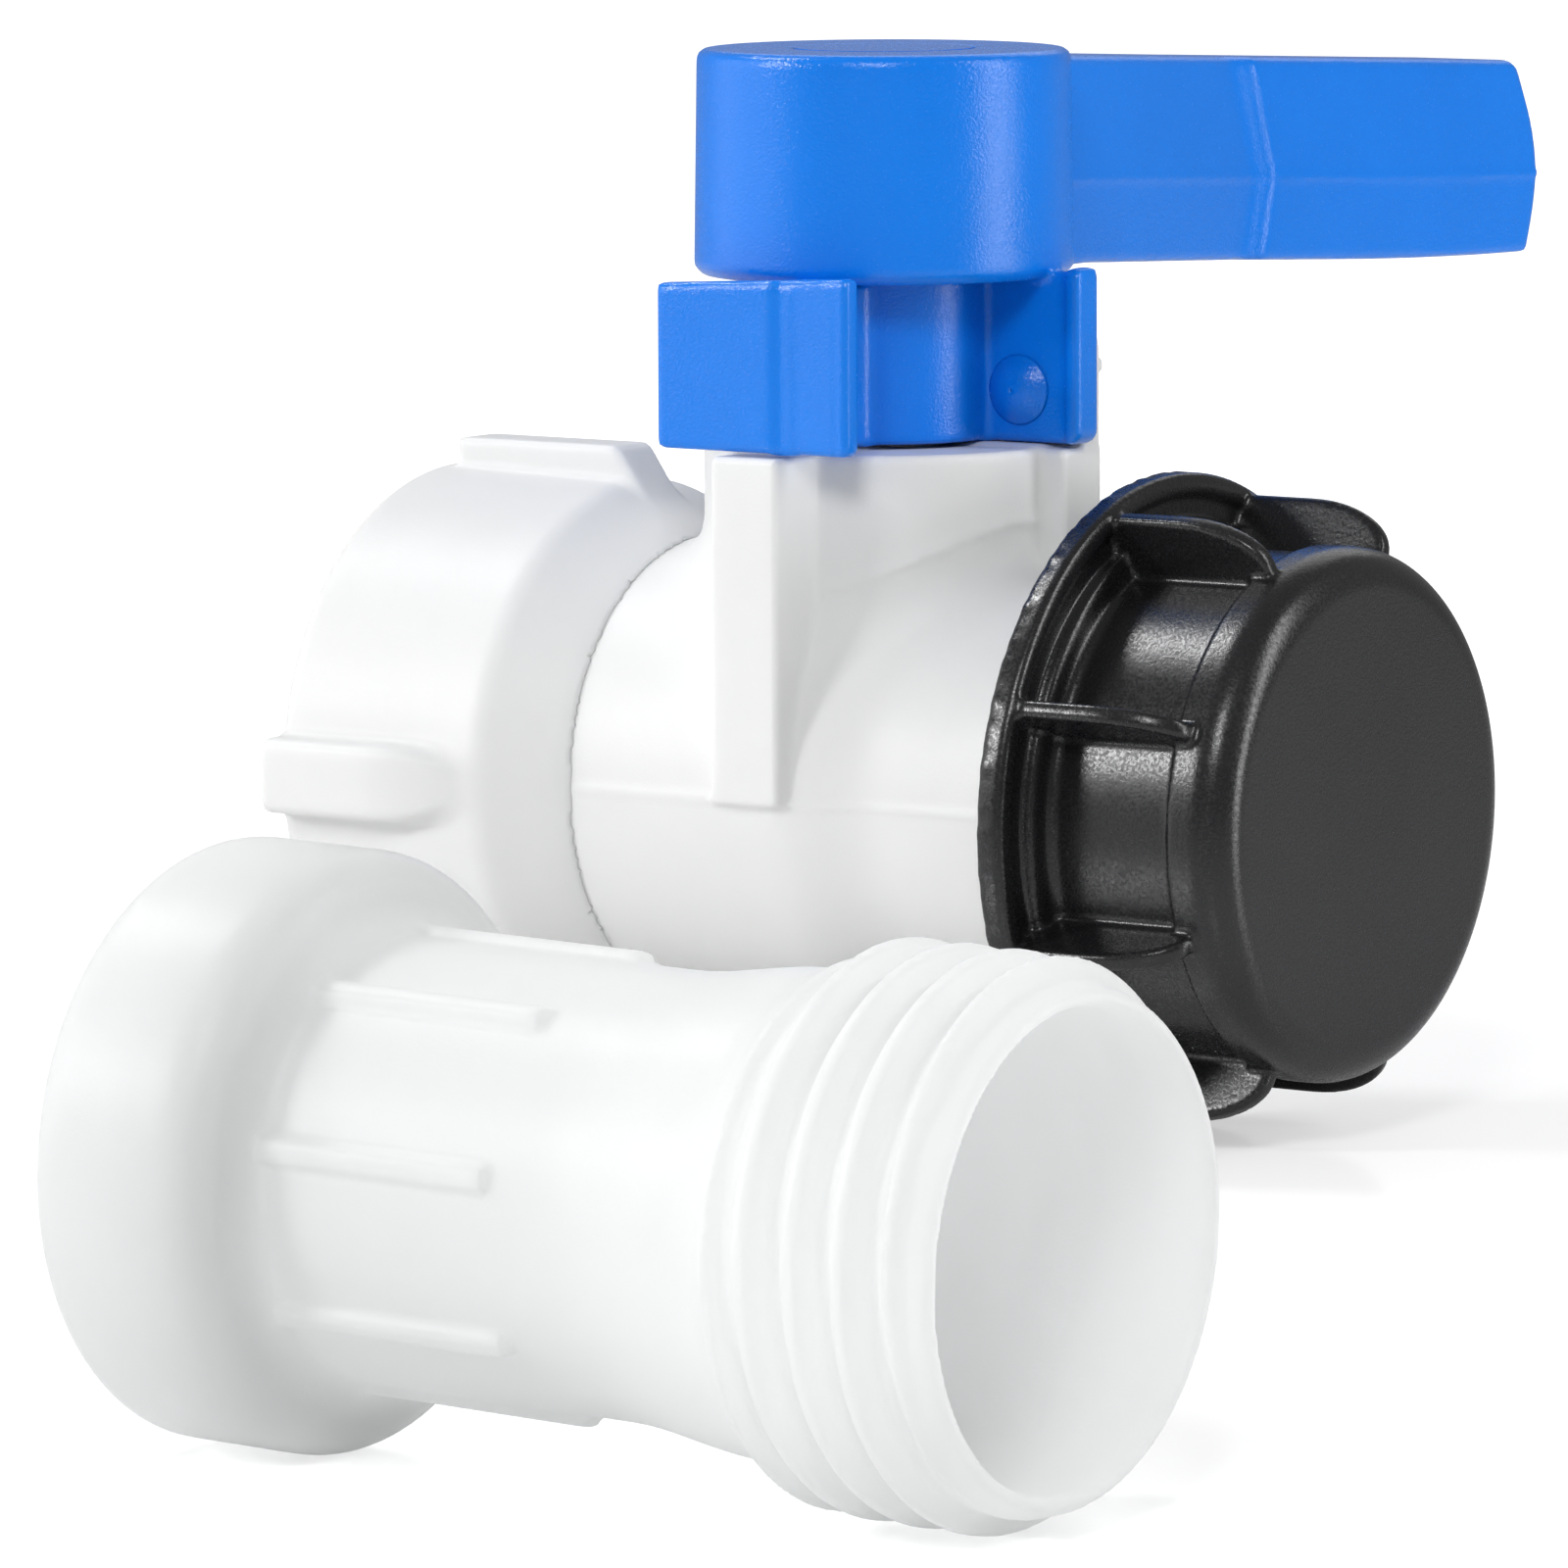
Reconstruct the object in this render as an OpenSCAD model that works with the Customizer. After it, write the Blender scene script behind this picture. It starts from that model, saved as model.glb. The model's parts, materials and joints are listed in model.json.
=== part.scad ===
// Rain barrel tap: a plastic ball valve for a barrel outlet with a coarse 60 mm thread, and the
// loose extension pipe that goes with it. Millimetres. The pipe run lies along X and the stem
// along Z. X is counted from the inlet nut's open face, and the axis of the run is at Z = 0.
// In the modules, lengths along the run are counted from the middle of the ball.

/* [Pipe run] */
// Inlet nut's open face to the middle of the ball
inlet_reach = 71; // [69:0.5:76]
// Middle of the ball to the rim of the outlet
outlet_reach = 69.5; // [68:0.5:76]
// Middle of the ball to the end of the body inside the inlet nut
collar_reach = 40; // [39:0.5:43]
// Outside diameter of the ball chamber
chamber_d = 61; // [60:0.5:64]
// Outside diameter of the outlet neck
neck_d = 54.6; // [54:0.2:55.4]
// Bore of the outlet behind its rim
outlet_bore_d = 46.6; // [42:0.2:47.4]
// Axis of the run down to the floor it stands on
stand_height = 42; // [41.7:0.1:43.5]

/* [Coarse thread] */
// Diameter over the crests of the male thread
thread_d = 60; // [59.6:0.1:60.2]
// Pitch of the thread
thread_pitch = 6; // [5.6:0.1:6.2]
// Height of a crest over its root
thread_depth = 2.7; // [2.2:0.1:2.9]
// Rim of the outlet to the middle of its first crest
outlet_first_crest = 3.6; // [3:0.1:4.2]
// Mouth of the pipe to the middle of its first crest
pipe_first_crest = 6.4; // [4:0.1:8]
// Gap all round between male and female thread
thread_gap = 0.3; // [0.3:0.05:0.45]

/* [Ball and seats] */
// Diameter of the ball
ball_d = 52.6; // [52:0.1:52.8]
// Bore through the ball
ball_bore_d = 34; // [30:0.5:34.5]
// Gap between the ball and what surrounds it
ball_gap = 0.3; // [0.3:0.05:0.45]
// Thickness of a seat ring along the run
seat_t = 5.2; // [4.8:0.1:5.4]
// Outside diameter of a seat ring
seat_d = 44; // [43:0.2:44.6]
// Face of the seat ring's back to the middle of the ball
seat_back = 21.5; // [21:0.1:22]
// Outside diameter of the threaded ring that holds the inlet seat
carrier_d = 53.2; // [52.6:0.1:53.3]

/* [Bonnet and stops] */
// Diameter of the bonnet column
bonnet_d = 47; // [45:0.5:49]
// Top of the bonnet over the axis of the run
bonnet_top = 44.4; // [43.8:0.1:44.5]
// Width of the stiffening fins on both flanks of the bonnet
fin_w = 10.5; // [8:0.5:13]
// Outer face of those fins from the stem axis
fin_reach = 32; // [31.5:0.1:33]
// Reach of the stop for the closed lever
stop_reach = 27.8; // [27:0.1:29.2]
// Width of the fin below that stop
stop_fin_w = 8.5; // [6:0.1:10]
// Top of the stop tabs over the axis of the run
stop_top = 60; // [57:0.5:63]
// Thickness of the closed stop
stop_t = 3.7; // [3:0.1:5]

/* [Stem] */
// Diameter of the stem
stem_d = 18; // [17:0.2:18.6]
// Running gap all round the stem
stem_gap = 0.08; // [0.05:0.01:0.1]
// Width of the stem's flats in the lever
square_w = 12; // [11:0.2:12.4]
// Thickness of the tang that turns the ball
tang_t = 6; // [5:0.2:7]
// Diameter of the stem's flange below the bonnet
stem_flange_d = 24; // [23:0.2:24.4]
// Section of the stem's O-rings
o_ring_t = 2; // [1.8:0.1:2.2]

/* [Lever] */
// Diameter of the hub at its top
hub_d = 48.6; // [47:0.2:50]
// Height of the hub's wall
hub_h = 29.4; // [28.6:0.1:30]
// Underside of the hub over the axis of the run
hub_bottom = 66.2; // [65.8:0.1:67.4]
// Wall of the hub
hub_wall = 3; // [2.4:0.1:3.6]
// Diameter of the tube below the hub
tube_d = 29.4; // [27:0.2:29.8]
// Running gap between the lever and the bonnet's top
lever_gap = 0.6; // [0.4:0.1:1]
// Stem axis to the tip of the lever
lever_reach = 148.2; // [125:0.5:160]
// Stem axis to the crease where the arm's flanks become parallel
crease_reach = 75; // [66:0.5:85]
// Width of the arm at its crease
arm_w = 17.4; // [15:0.2:20]
// Width of the arm at its tip
tip_w = 19; // [17:0.2:22]
// Height of the arm at the hub
arm_h = 28.6; // [26:0.1:28.8]
// Height of the arm at its tip
tip_h = 25.6; // [23:0.1:27]
// Slope of the arm's top, down towards the tip
arm_slope = 2.7; // [2:0.1:3.2]
// Wall of the arm
arm_wall = 2.6; // [2:0.1:3]
// Distance from one cross rib in the arm to the next
arm_rib_step = 20; // [14:1:26]
// Thickness of the arm's cross ribs
arm_rib_t = 1.8; // [1.4:0.1:2.4]
// Thickness of the wings below the hub
wing_t = 3; // [2.4:0.1:3]
// Face of the stop wing that meets the closed stop
wing_y = 5; // [4.6:0.1:5.4]
// Reach of the stop wing
wing_reach = 29.8; // [28:0.1:30.5]
// Outer face of the shield wing from the stem axis
shield_reach = 31; // [30.6:0.1:32]
// Gap between a wing and its stop
stop_gap = 0.3; // [0.3:0.05:0.5]

/* [Lock pin] */
// Stem axis to the pin, along the stop wing
pin_x = 19.8; // [19.4:0.1:21]
// Height of the pin over the axis of the run
pin_z = 51.8; // [51:0.1:54]
// Diameter of the pin's shank
pin_d = 6; // [5:0.2:6.4]
// Diameter of the pin's head
pin_head_d = 9.2; // [8.2:0.1:9.6]

/* [Dust cap] */
// Thickness of the cap's flange
cap_flange_t = 3.8; // [2.8:0.1:4.2]
// Open end of the cap to the middle of the ball
cap_back = 42.9; // [42.6:0.1:44]
// Thickness of the cap's face
cap_face_t = 3.2; // [2.6:0.1:4]
// Wall of the cap's skirt
cap_wall = 2.7; // [2.2:0.1:3]
// Radius of the rounded edge round the cap's face
cap_round = 5.4; // [4:0.1:5.8]
// Number of grip ribs on the cap
cap_ribs = 8; // [6:1:10]
// Thickness of a grip rib
cap_rib_t = 2.4; // [1.8:0.1:3]
// Thickness of the sealing disc in the cap
liner_t = 1.5; // [1:0.1:2]

/* [Inlet nut] */
// Outside diameter of the nut at its open face
nut_d = 76.8; // [75.4:0.2:78]
// Front face of the nut to the middle of the ball
nut_front = 29.6; // [29:0.1:31]
// Width of the two lugs on the nut's flanks
side_lug_w = 10; // [8:0.5:13]
// Width of the lugs on the nut's top and bottom
top_lug_w = 8; // [6:0.5:11]
// Distance of the top and bottom lugs from the nut's open face
top_lug_set = 4.2; // [0.5:0.1:8]
// Thickness of the nut's front lip
nut_lip = 6; // [5:0.1:6.2]
// Thickness of the flat gasket in the nut
gasket_t = 3; // [2.4:0.1:3.4]

/* [Extension pipe] */
// Length of the pipe
pipe_length = 111.6; // [104:0.2:118]
// Outside diameter of its socket
socket_d = 65; // [64.6:0.2:67]
// Depth of the socket
socket_depth = 17; // [15:0.5:18.5]
// Outside diameter of its waist
waist_d = 47.6; // [46:0.2:49]
// Wall of the pipe
pipe_wall = 2.6; // [2.2:0.1:3]
// Ribs behind the socket
pipe_ribs = 8; // [6:1:10]
// Width of such a rib
pipe_rib_w = 3; // [2:0.2:4]
// Length of the straight waist in front of the shoulder
waist_run = 35; // [26:0.5:38]
// Radius of the socket's rounded front edge
socket_round = 5.2; // [3:0.1:6]
// Place of the pipe's mouth along the run, from the middle of the ball
pipe_place_x = 192.5; // [180:0.5:210]
// Distance of the pipe in front of the valve
pipe_place_y = 243; // [225:0.5:260]

/* [Hidden] */
$fn = 72;

white = [0.93, 0.94, 0.93];
milky = [0.90, 0.92, 0.93];
blue = [0.02, 0.42, 0.88];
black = [0.10, 0.10, 0.11];
rubber = [0.16, 0.16, 0.17];
ptfe = [0.97, 0.97, 0.96];
steel = [0.72, 0.73, 0.75];

cut = 1;                 // how far a cutting solid runs past a face
press = 0.05;            // gap of pieces that are pressed or clamped together

thread_r = thread_d / 2;
root_r = thread_r - thread_depth;
female_r = thread_r + thread_gap;
chamber_r = chamber_d / 2;
neck_r = neck_d / 2;
ball_r = ball_d / 2;
cavity_r = ball_r + 2 * ball_gap;
bore_r = ball_bore_d / 2;
inlet_tube_r = cavity_r + 2.5;
collar_r = inlet_tube_r + 1.7;
collar_t = 4;
bonnet_r = bonnet_d / 2;
stem_r = stem_d / 2;
stem_hole_r = stem_r + stem_gap;
hub_r = hub_d / 2;
hub_top = hub_bottom + hub_h;
tube_r = tube_d / 2;
lever_bottom = bonnet_top + lever_gap;
seat_ring_r = seat_d / 2;
seat_pocket_r = seat_ring_r + press;
seat_bore_r = bore_r + 0.4;
pocket_end = seat_back + o_ring_t * 0.6;
flange_z = ball_r - 1.6;          // underside of the stem's flange
flange_t = 3;
washer_t = 1;
gland_h = 8;
gland_r = stem_r + 4;
cap_r = female_r + cap_wall;
cap_face = outlet_reach + stop_gap + liner_t + cap_face_t;
socket_r = socket_d / 2;
waist_r = waist_d / 2;
mouth_root = root_r + 0.1;

// Turns a profile of [radius, place] about the run
module lathe_x(profile) {
    rotate([0, 90, 0]) rotate_extrude() polygon(profile);
}

// Puts a piece that is drawn round the middle of the ball in its place
module at_ball() {
    translate([inlet_reach, 0, 0]) children();
}

// Points of an arc, from one angle to another
function arc(cx, cy, r, from, to, steps = 8) =
    [for (i = [0 : steps]) let (a = from + (to - from) * i / steps) [cx + r * cos(a), cy + r * sin(a)]];

// Smooth step from one radius to another along the run, with level ends
function blend(r1, x1, r2, x2, steps = 10) =
    [for (i = [0 : steps]) let (t = i / steps) [r1 + (r2 - r1) * (1 - cos(180 * t)) / 2, x1 + (x2 - x1) * t]];

// Crests of the male thread, counted back from a rim at x = 0, from the rim inwards
function crests(root, top, first, count) =
    [for (i = [0 : count - 1]) let (x = -first - i * thread_pitch) for (p = [
        [root, x + thread_pitch * 0.37], [top, x + thread_pitch * 0.12],
        [top, x - thread_pitch * 0.12], [root, x - thread_pitch * 0.37]]) p];

// The same list from its far end
function turned(list) = [for (i = [len(list) - 1 : -1 : 0]) list[i]];

// Moves every point of a profile along the run
function moved(list, dx) = [for (p = list) [p[0], p[1] + dx]];

// Flat bar with rounded outer edges, standing along Z
module fin(width, depth, from_z, to_z, round) {
    translate([0, 0, from_z]) linear_extrude(to_z - from_z) polygon(concat(
        [[0, -width / 2]],
        arc(depth - round, -width / 2 + round, round, -90, 0, 6),
        arc(depth - round, width / 2 - round, round, 0, 90, 6),
        [[0, width / 2]]));
}

crest_count = 4;

module body_shell() {
    outer = concat(
        [[0, -collar_reach]],
        [[collar_r - 0.6, -collar_reach], [collar_r, -collar_reach + 0.6]],
        [[collar_r, -collar_reach + collar_t], [inlet_tube_r, -collar_reach + collar_t]],
        blend(inlet_tube_r, -nut_front - 3, chamber_r, -nut_front + 3, 6),
        blend(chamber_r, 2, neck_r, 18),
        [[neck_r, cap_back - 1.5]],
        moved(turned(concat([[root_r - 0.8, 0], [root_r, -0.8]],
            crests(root_r, thread_r, outlet_first_crest, crest_count))), outlet_reach),
        [[0, outlet_reach]]);
    lathe_x(outer);
}

// Stiffening fins on both flanks, the closed stop's root and the column of the bonnet
module bonnet_outside() {
    cylinder(r = bonnet_r, h = bonnet_top);
    for (side = [-90, 90])
        rotate([0, 0, side]) fin(fin_w, fin_reach, -0.4, bonnet_top, 1.2);
    translate([0, closed_stop_y + stop_t - stop_fin_w / 2, 0]) fin(stop_fin_w, stop_reach, 0, bonnet_top, 1);
}

// The stop wing's back comes to rest on this face when the lever is closed
closed_stop_y = wing_y + stop_gap;
// Inner edge of both stops, clear of the lever's tube
stop_start = tube_r + 0.6;
open_stop_reach = 25;
// The shield's web turns onto this face when the lever is open
web_x = 3.6;
open_stop_y = -web_x + stop_gap;

module stop_tab(reach, from_y, to_y) {
    round = 2.5;
    rotate([90, 0, 0]) translate([0, 0, -to_y]) linear_extrude(to_y - from_y) polygon(concat(
        [[stop_start, bonnet_top - 4], [reach, bonnet_top - 4]],
        arc(reach - round, stop_top - round, round, 0, 90, 6),
        [[stop_start, stop_top]]));
}

module valve_body() {
    color(white) at_ball() difference() {
        union() {
            body_shell();
            bonnet_outside();
            stop_tab(stop_reach, closed_stop_y, closed_stop_y + stop_t);
            mirror([1, 0, 0]) stop_tab(open_stop_reach, open_stop_y, open_stop_y + stop_t + 1.2);
        }
        // Chamber, seat pocket and outlet bore
        lathe_x(concat(
            [[0, -collar_reach - cut], [cavity_r, -collar_reach - cut]],
            arc(0, 0, cavity_r, 0, acos(seat_pocket_r / cavity_r)),
            [[seat_pocket_r, pocket_end]],
            [[seat_bore_r, pocket_end], [seat_bore_r, pocket_end + 3]],
            [[outlet_bore_d / 2, pocket_end + 12], [outlet_bore_d / 2, outlet_reach + cut], [0, outlet_reach + cut]]));
        // Stem hole, flange pocket and gland pocket
        cylinder(r = stem_hole_r, h = bonnet_top + cut);
        cylinder(r = stem_flange_d / 2 + 0.3, h = flange_z + flange_t + washer_t);
        translate([0, 0, bonnet_top - gland_h]) cylinder(r = gland_r + press, h = gland_h + cut);
        // Hole for the lock pin's nose
        translate([pin_x, 0, pin_z]) rotate([-90, 0, 0]) cylinder(r = pin_d / 2 + 0.7, h = stop_reach);
    }
}

// Seat ring with a round face against the ball, its back at seat_back
module seat() {
    face_r = ball_r + ball_gap;
    lathe_x(concat([[seat_ring_r, seat_back - seat_t], [seat_ring_r, seat_back], [seat_bore_r, seat_back]],
        arc(0, 0, face_r, acos(seat_bore_r / face_r), asin((seat_back - seat_t) / face_r))));
}

module outlet_seat() {
    color(ptfe) at_ball() seat();
}

module inlet_seat() {
    color(ptfe) at_ball() mirror([1, 0, 0]) seat();
}

// Ring that presses a seat onto the ball, squeezed between the seat and its pocket
module seat_o_ring() {
    gap = pocket_end - seat_back;
    lathe_x([[seat_ring_r - 3, seat_back + 0.05], [seat_ring_r - 1, seat_back + 0.05],
        [seat_ring_r - 0.6, seat_back + gap / 2], [seat_ring_r - 1, pocket_end - 0.05],
        [seat_ring_r - 3, pocket_end - 0.05], [seat_ring_r - 3.4, seat_back + gap / 2]]);
}

module outlet_seat_o_ring() {
    color(rubber) at_ball() seat_o_ring();
}

module inlet_seat_o_ring() {
    color(rubber) at_ball() mirror([1, 0, 0]) seat_o_ring();
}

carrier_r = carrier_d / 2;
carrier_groove_r = carrier_r + 0.3 - o_ring_t;
carrier_groove_x = -pocket_end - 3.6;

// Threaded ring in the inlet: it cups the inlet seat and has four spanner notches in its rim
module seat_carrier() {
    back = -collar_reach + 1;
    groove_end = carrier_groove_x + o_ring_t + 0.2;
    color(white) at_ball() difference() {
        lathe_x([[seat_bore_r, back], [carrier_r - 0.5, back], [carrier_r, back + 0.5],
            [carrier_r, carrier_groove_x], [carrier_groove_r, carrier_groove_x],
            [carrier_groove_r, groove_end], [carrier_r, groove_end],
            [carrier_r, -seat_back + 3], [seat_pocket_r, -seat_back + 3], [seat_pocket_r, -pocket_end],
            [seat_bore_r, -pocket_end]]);
        for (a = [0 : 90 : 270]) rotate([a, 0, 0])
            translate([back - cut, -2.5, seat_bore_r - cut]) cube([cut + 4, 5, carrier_r - seat_bore_r - 3]);
    }
}

module carrier_o_ring() {
    color(rubber) at_ball() translate([carrier_groove_x + o_ring_t / 2 + 0.1, 0, 0]) rotate([0, 90, 0])
        rotate_extrude() translate([carrier_groove_r + o_ring_t / 2, 0]) circle(r = o_ring_t / 2 - 0.04, $fn = 32);
}

module inlet_gasket() {
    back = -collar_reach;
    color(rubber) at_ball() lathe_x([[seat_ring_r + 2, back - gasket_t], [collar_r - 0.3, back - gasket_t],
        [collar_r - 0.3, back], [seat_ring_r + 2, back]]);
}

// Swivel nut: it turns on the collar of the body, with four lugs for a spanner
module inlet_nut() {
    nut_r = nut_d / 2;
    front_r = nut_r - 0.8;
    open = -inlet_reach;
    gasket_back = -collar_reach - gasket_t - 0.2;
    chamfer = 2.4;
    shoulder = -nut_front - 12;
    color(white) at_ball() difference() {
        union() {
            lathe_x(concat([[0, open], [nut_r - chamfer, open]],
                arc(nut_r - chamfer, open + chamfer, chamfer, -90, 0, 4),
                [[front_r, shoulder]],
                [[front_r - 0.6, shoulder + 3.2], [front_r - 1.7, shoulder + 6.4], [front_r - 3.2, shoulder + 9.4]],
                [[front_r - 5, -nut_front], [0, -nut_front]]));
            for (a = [0, 180]) rotate([a, 0, 0]) top_lug();
            for (a = [90, 270]) rotate([a, 0, 0]) side_lug();
        }
        lathe_x([[0, open - cut], [female_r, open - cut], [female_r, gasket_back],
            [collar_r + 0.35, gasket_back],
            [collar_r + 0.35, -nut_front - nut_lip], [inlet_tube_r + 0.35, -nut_front - nut_lip],
            [inlet_tube_r + 0.35, -nut_front - 3], [chamber_r + 0.4, -nut_front + cut], [0, -nut_front + cut]]);
    }

    lug_r = stand_height - 0.2;
    inside = nut_r - 4;
    foot = shoulder + 4.6;

    module lug_side(start) {
        polygon([[start, inside], [start, lug_r - 1], [start + 1, lug_r], [shoulder - 0.8, lug_r],
            [foot, front_r - 1.2], [foot, inside]]);
    }

    module top_lug() {
        translate([0, top_lug_w / 2, 0]) rotate([90, 0, 0]) linear_extrude(top_lug_w) lug_side(open + top_lug_set);
    }

    module side_lug() {
        half = side_lug_w / 2;
        round = 1.6;
        intersection() {
            translate([0, half, 0]) rotate([90, 0, 0]) linear_extrude(side_lug_w) lug_side(open + 0.2);
            rotate([90, 0, 90]) translate([0, 0, open]) linear_extrude(inlet_reach) polygon(concat(
                [[-half, inside]], arc(-half + round, lug_r - round, round, 180, 90, 5),
                arc(half - round, lug_r - round, round, 90, 0, 5), [[half, inside]]));
        }
    }
}

// Ball with its bore across the run when the tap is closed, and a slot for the stem's tang
module ball() {
    color(milky) at_ball() difference() {
        sphere(r = ball_r);
        rotate([90, 0, 0]) cylinder(r = bore_r, h = ball_d + 2 * cut, center = true);
        translate([-ball_r, -tang_t / 2 - 0.2, flange_z - 5.2]) cube([ball_d, tang_t + 0.4, 10]);
        translate([0, 0, flange_z - 0.3]) cylinder(r = ball_r, h = 10);
    }
}

module thrust_washer() {
    color(ptfe) at_ball() translate([0, 0, flange_z + flange_t + 0.05]) difference() {
        cylinder(r = stem_flange_d / 2 - 0.3, h = washer_t - 0.1);
        translate([0, 0, -cut]) cylinder(r = stem_hole_r, h = washer_t + 2 * cut);
    }
}

lower_ring_z = flange_z + flange_t + washer_t + 1.4;
upper_ring_z = lower_ring_z + o_ring_t + 1.4;
groove_r = stem_r - o_ring_t + 0.08;
square_bottom = bonnet_top + 0.4;
square_top = hub_bottom - 1;

module stem() {
    length = square_top - flange_z;
    color(milky) at_ball() difference() {
        union() {
            translate([0, 0, flange_z]) cylinder(r = stem_flange_d / 2 - 0.3, h = flange_t);
            translate([0, 0, flange_z]) cylinder(r = stem_r, h = square_bottom - flange_z);
            intersection() {
                translate([0, 0, flange_z]) cylinder(r = stem_r - 0.6, h = length);
                translate([-square_w / 2, -square_w / 2, flange_z]) cube([square_w, square_w, length]);
            }
            translate([-stem_flange_d / 2 + 2, -tang_t / 2, flange_z - 5])
                cube([stem_flange_d - 4, tang_t, 5 + cut]);
        }
        for (z = [lower_ring_z, upper_ring_z]) translate([0, 0, z]) difference() {
            cylinder(r = stem_d, h = o_ring_t + 0.2);
            translate([0, 0, -cut]) cylinder(r = groove_r, h = o_ring_t + 3 * cut);
        }
        translate([0, 0, square_top - 16]) cylinder(r = screw_r + press, h = 20);
    }
}

module stem_o_ring(z) {
    color(rubber) at_ball() translate([0, 0, z + 0.1 + o_ring_t / 2]) rotate_extrude()
        translate([groove_r + o_ring_t / 2 + 0.02, 0]) circle(r = o_ring_t / 2 - 0.04, $fn = 32);
}

module lower_stem_o_ring() {
    stem_o_ring(lower_ring_z);
}

module upper_stem_o_ring() {
    stem_o_ring(upper_ring_z);
}

module gland_bush() {
    color(ptfe) at_ball() translate([0, 0, bonnet_top - gland_h + 0.05]) difference() {
        cylinder(r = gland_r, h = gland_h - 0.05);
        translate([0, 0, -cut]) cylinder(r = stem_hole_r, h = gland_h + 2 * cut);
    }
}

// Half width of the arm at a distance from the stem
function arm_half(y) = y < crease_reach
    ? arm_w / 2 + 5.6 * pow((crease_reach - y) / crease_reach, 1.7)
    : arm_w / 2 + (tip_w - arm_w) / 2 * (y - crease_reach) / (lever_reach - crease_reach);

arm_top = hub_top - 0.6;
tip_bulge = 3.6;
tip_lean = 2.4;

// Outline of the arm from above, with its walls moved inwards by inset
function arm_plan(inset) = let (
    ys = [for (i = [0 : 6]) 8 + (crease_reach - 8) * i / 6], end = lever_reach - inset,
    side = concat([for (y = ys) [arm_half(y) - inset, y]], [[arm_half(lever_reach) - inset - 1.2, end],
        ]))
    concat(side, [for (p = turned(side)) [-p[0], p[1]]]);

// Outline of the arm from the side: its top slopes down and its tip is round
module arm_profile(inset) {
    drop = lever_reach * tan(arm_slope);
    top = arm_top - inset;
    base = arm_top - arm_h;
    end = lever_reach - tip_bulge - tip_lean / 2 - inset;
    tip_top = top - drop;
    tip_base = arm_top - drop - tip_h;
    below = inset > 0 ? cut : 0;
    bulge = [for (i = [0 : 8]) let (t = i / 8)
        [end + tip_lean * (1 - t) + tip_bulge * sin(180 * t), tip_base + (tip_top - tip_base) * t]];
    polygon(concat([[0, top], [0, base - below], [hub_r + 5.7, base - below], [end + tip_lean, tip_base - below]],
        bulge));
}

module arm_solid(inset) {
    intersection() {
        translate([0, 0, 0]) linear_extrude(hub_top + 10) polygon(arm_plan(inset));
        rotate([90, 0, 90]) translate([0, 0, -hub_r]) linear_extrude(2 * hub_r) arm_profile(inset);
    }
}

// Arm with an open underside and cross ribs
module arm() {
    difference() {
        arm_solid(0);
        arm_solid(arm_wall);
    }
    intersection() {
        arm_solid(0.5);
        for (y = [hub_r + 21.7 : arm_rib_step : lever_reach - 12])
            translate([-hub_r, y, 0]) cube([hub_d, arm_rib_t, hub_top]);
    }
}

module hub_shell() {
    round = 1.4;
    flare = 0.4;
    rotate_extrude() polygon(concat(
        [[tube_r - 0.5, hub_top], [tube_r - 0.5, hub_top - hub_wall - 0.5]],
        [[hub_r - hub_wall, hub_top - hub_wall - 0.5], [hub_r - hub_wall + flare, hub_bottom]],
        [[hub_r + flare - 1.2, hub_bottom], [hub_r + flare, hub_bottom + 1.2]],
        arc(hub_r - round, hub_top - round, round, 0, 90, 5)));
}

screw_r = 3;
floor_z = hub_bottom - 1;
floor_t = 3;
plug_r = 11.5;
well_r = 9.6;

// Tube in the middle of the hub: it drops over the stem's flats and holds the screw's floor
module hub_tube() {
    ring = tube_r - 2.8;
    difference() {
        translate([0, 0, lever_bottom]) cylinder(r = tube_r, h = hub_top - lever_bottom);
        // Space round the boss of the stem's socket
        translate([0, 0, lever_bottom - cut]) difference() {
            cylinder(r = ring, h = floor_z - lever_bottom - 4 + cut);
            cylinder(r = square_w * 0.5 * sqrt(2) + 1.4, h = hub_h);
        }
        translate([-square_w / 2 - press, -square_w / 2 - press, lever_bottom - cut])
            cube([square_w + 2 * press, square_w + 2 * press, floor_z - lever_bottom + cut]);
        cylinder(r = screw_r + 0.3, h = hub_top);
        translate([0, 0, floor_z + floor_t]) cylinder(r = well_r, h = hub_top);
        translate([0, 0, hub_top - 1.6]) cylinder(r = plug_r + press, h = 2 * cut + 1.6);
    }
}

// Wing that meets the stops, with a lip along its end and the hole for the lock pin
module stop_wing() {
    height = hub_bottom + 0.8 - lever_bottom;
    lip = 1.1;
    difference() {
        translate([0, 0, lever_bottom]) linear_extrude(height) polygon(concat(
            [[tube_r - 1.5, wing_y - wing_t], [wing_reach - 4, wing_y - wing_t]],
            [[wing_reach - 2.6, wing_y - wing_t - lip * 0.3], [wing_reach - 1.6, wing_y - wing_t - lip]],
            [[wing_reach - 0.4, wing_y - wing_t - lip], [wing_reach, wing_y - wing_t - lip * 0.6]],
            [[wing_reach, wing_y - 0.5], [wing_reach - 0.5, wing_y], [tube_r - 1.5, wing_y]]));
        translate([pin_x, 0, pin_z]) rotate([-90, 0, 0])
            cylinder(r = pin_d / 2 + stem_gap, h = 4 * wing_t, center = true);
    }
}

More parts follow.
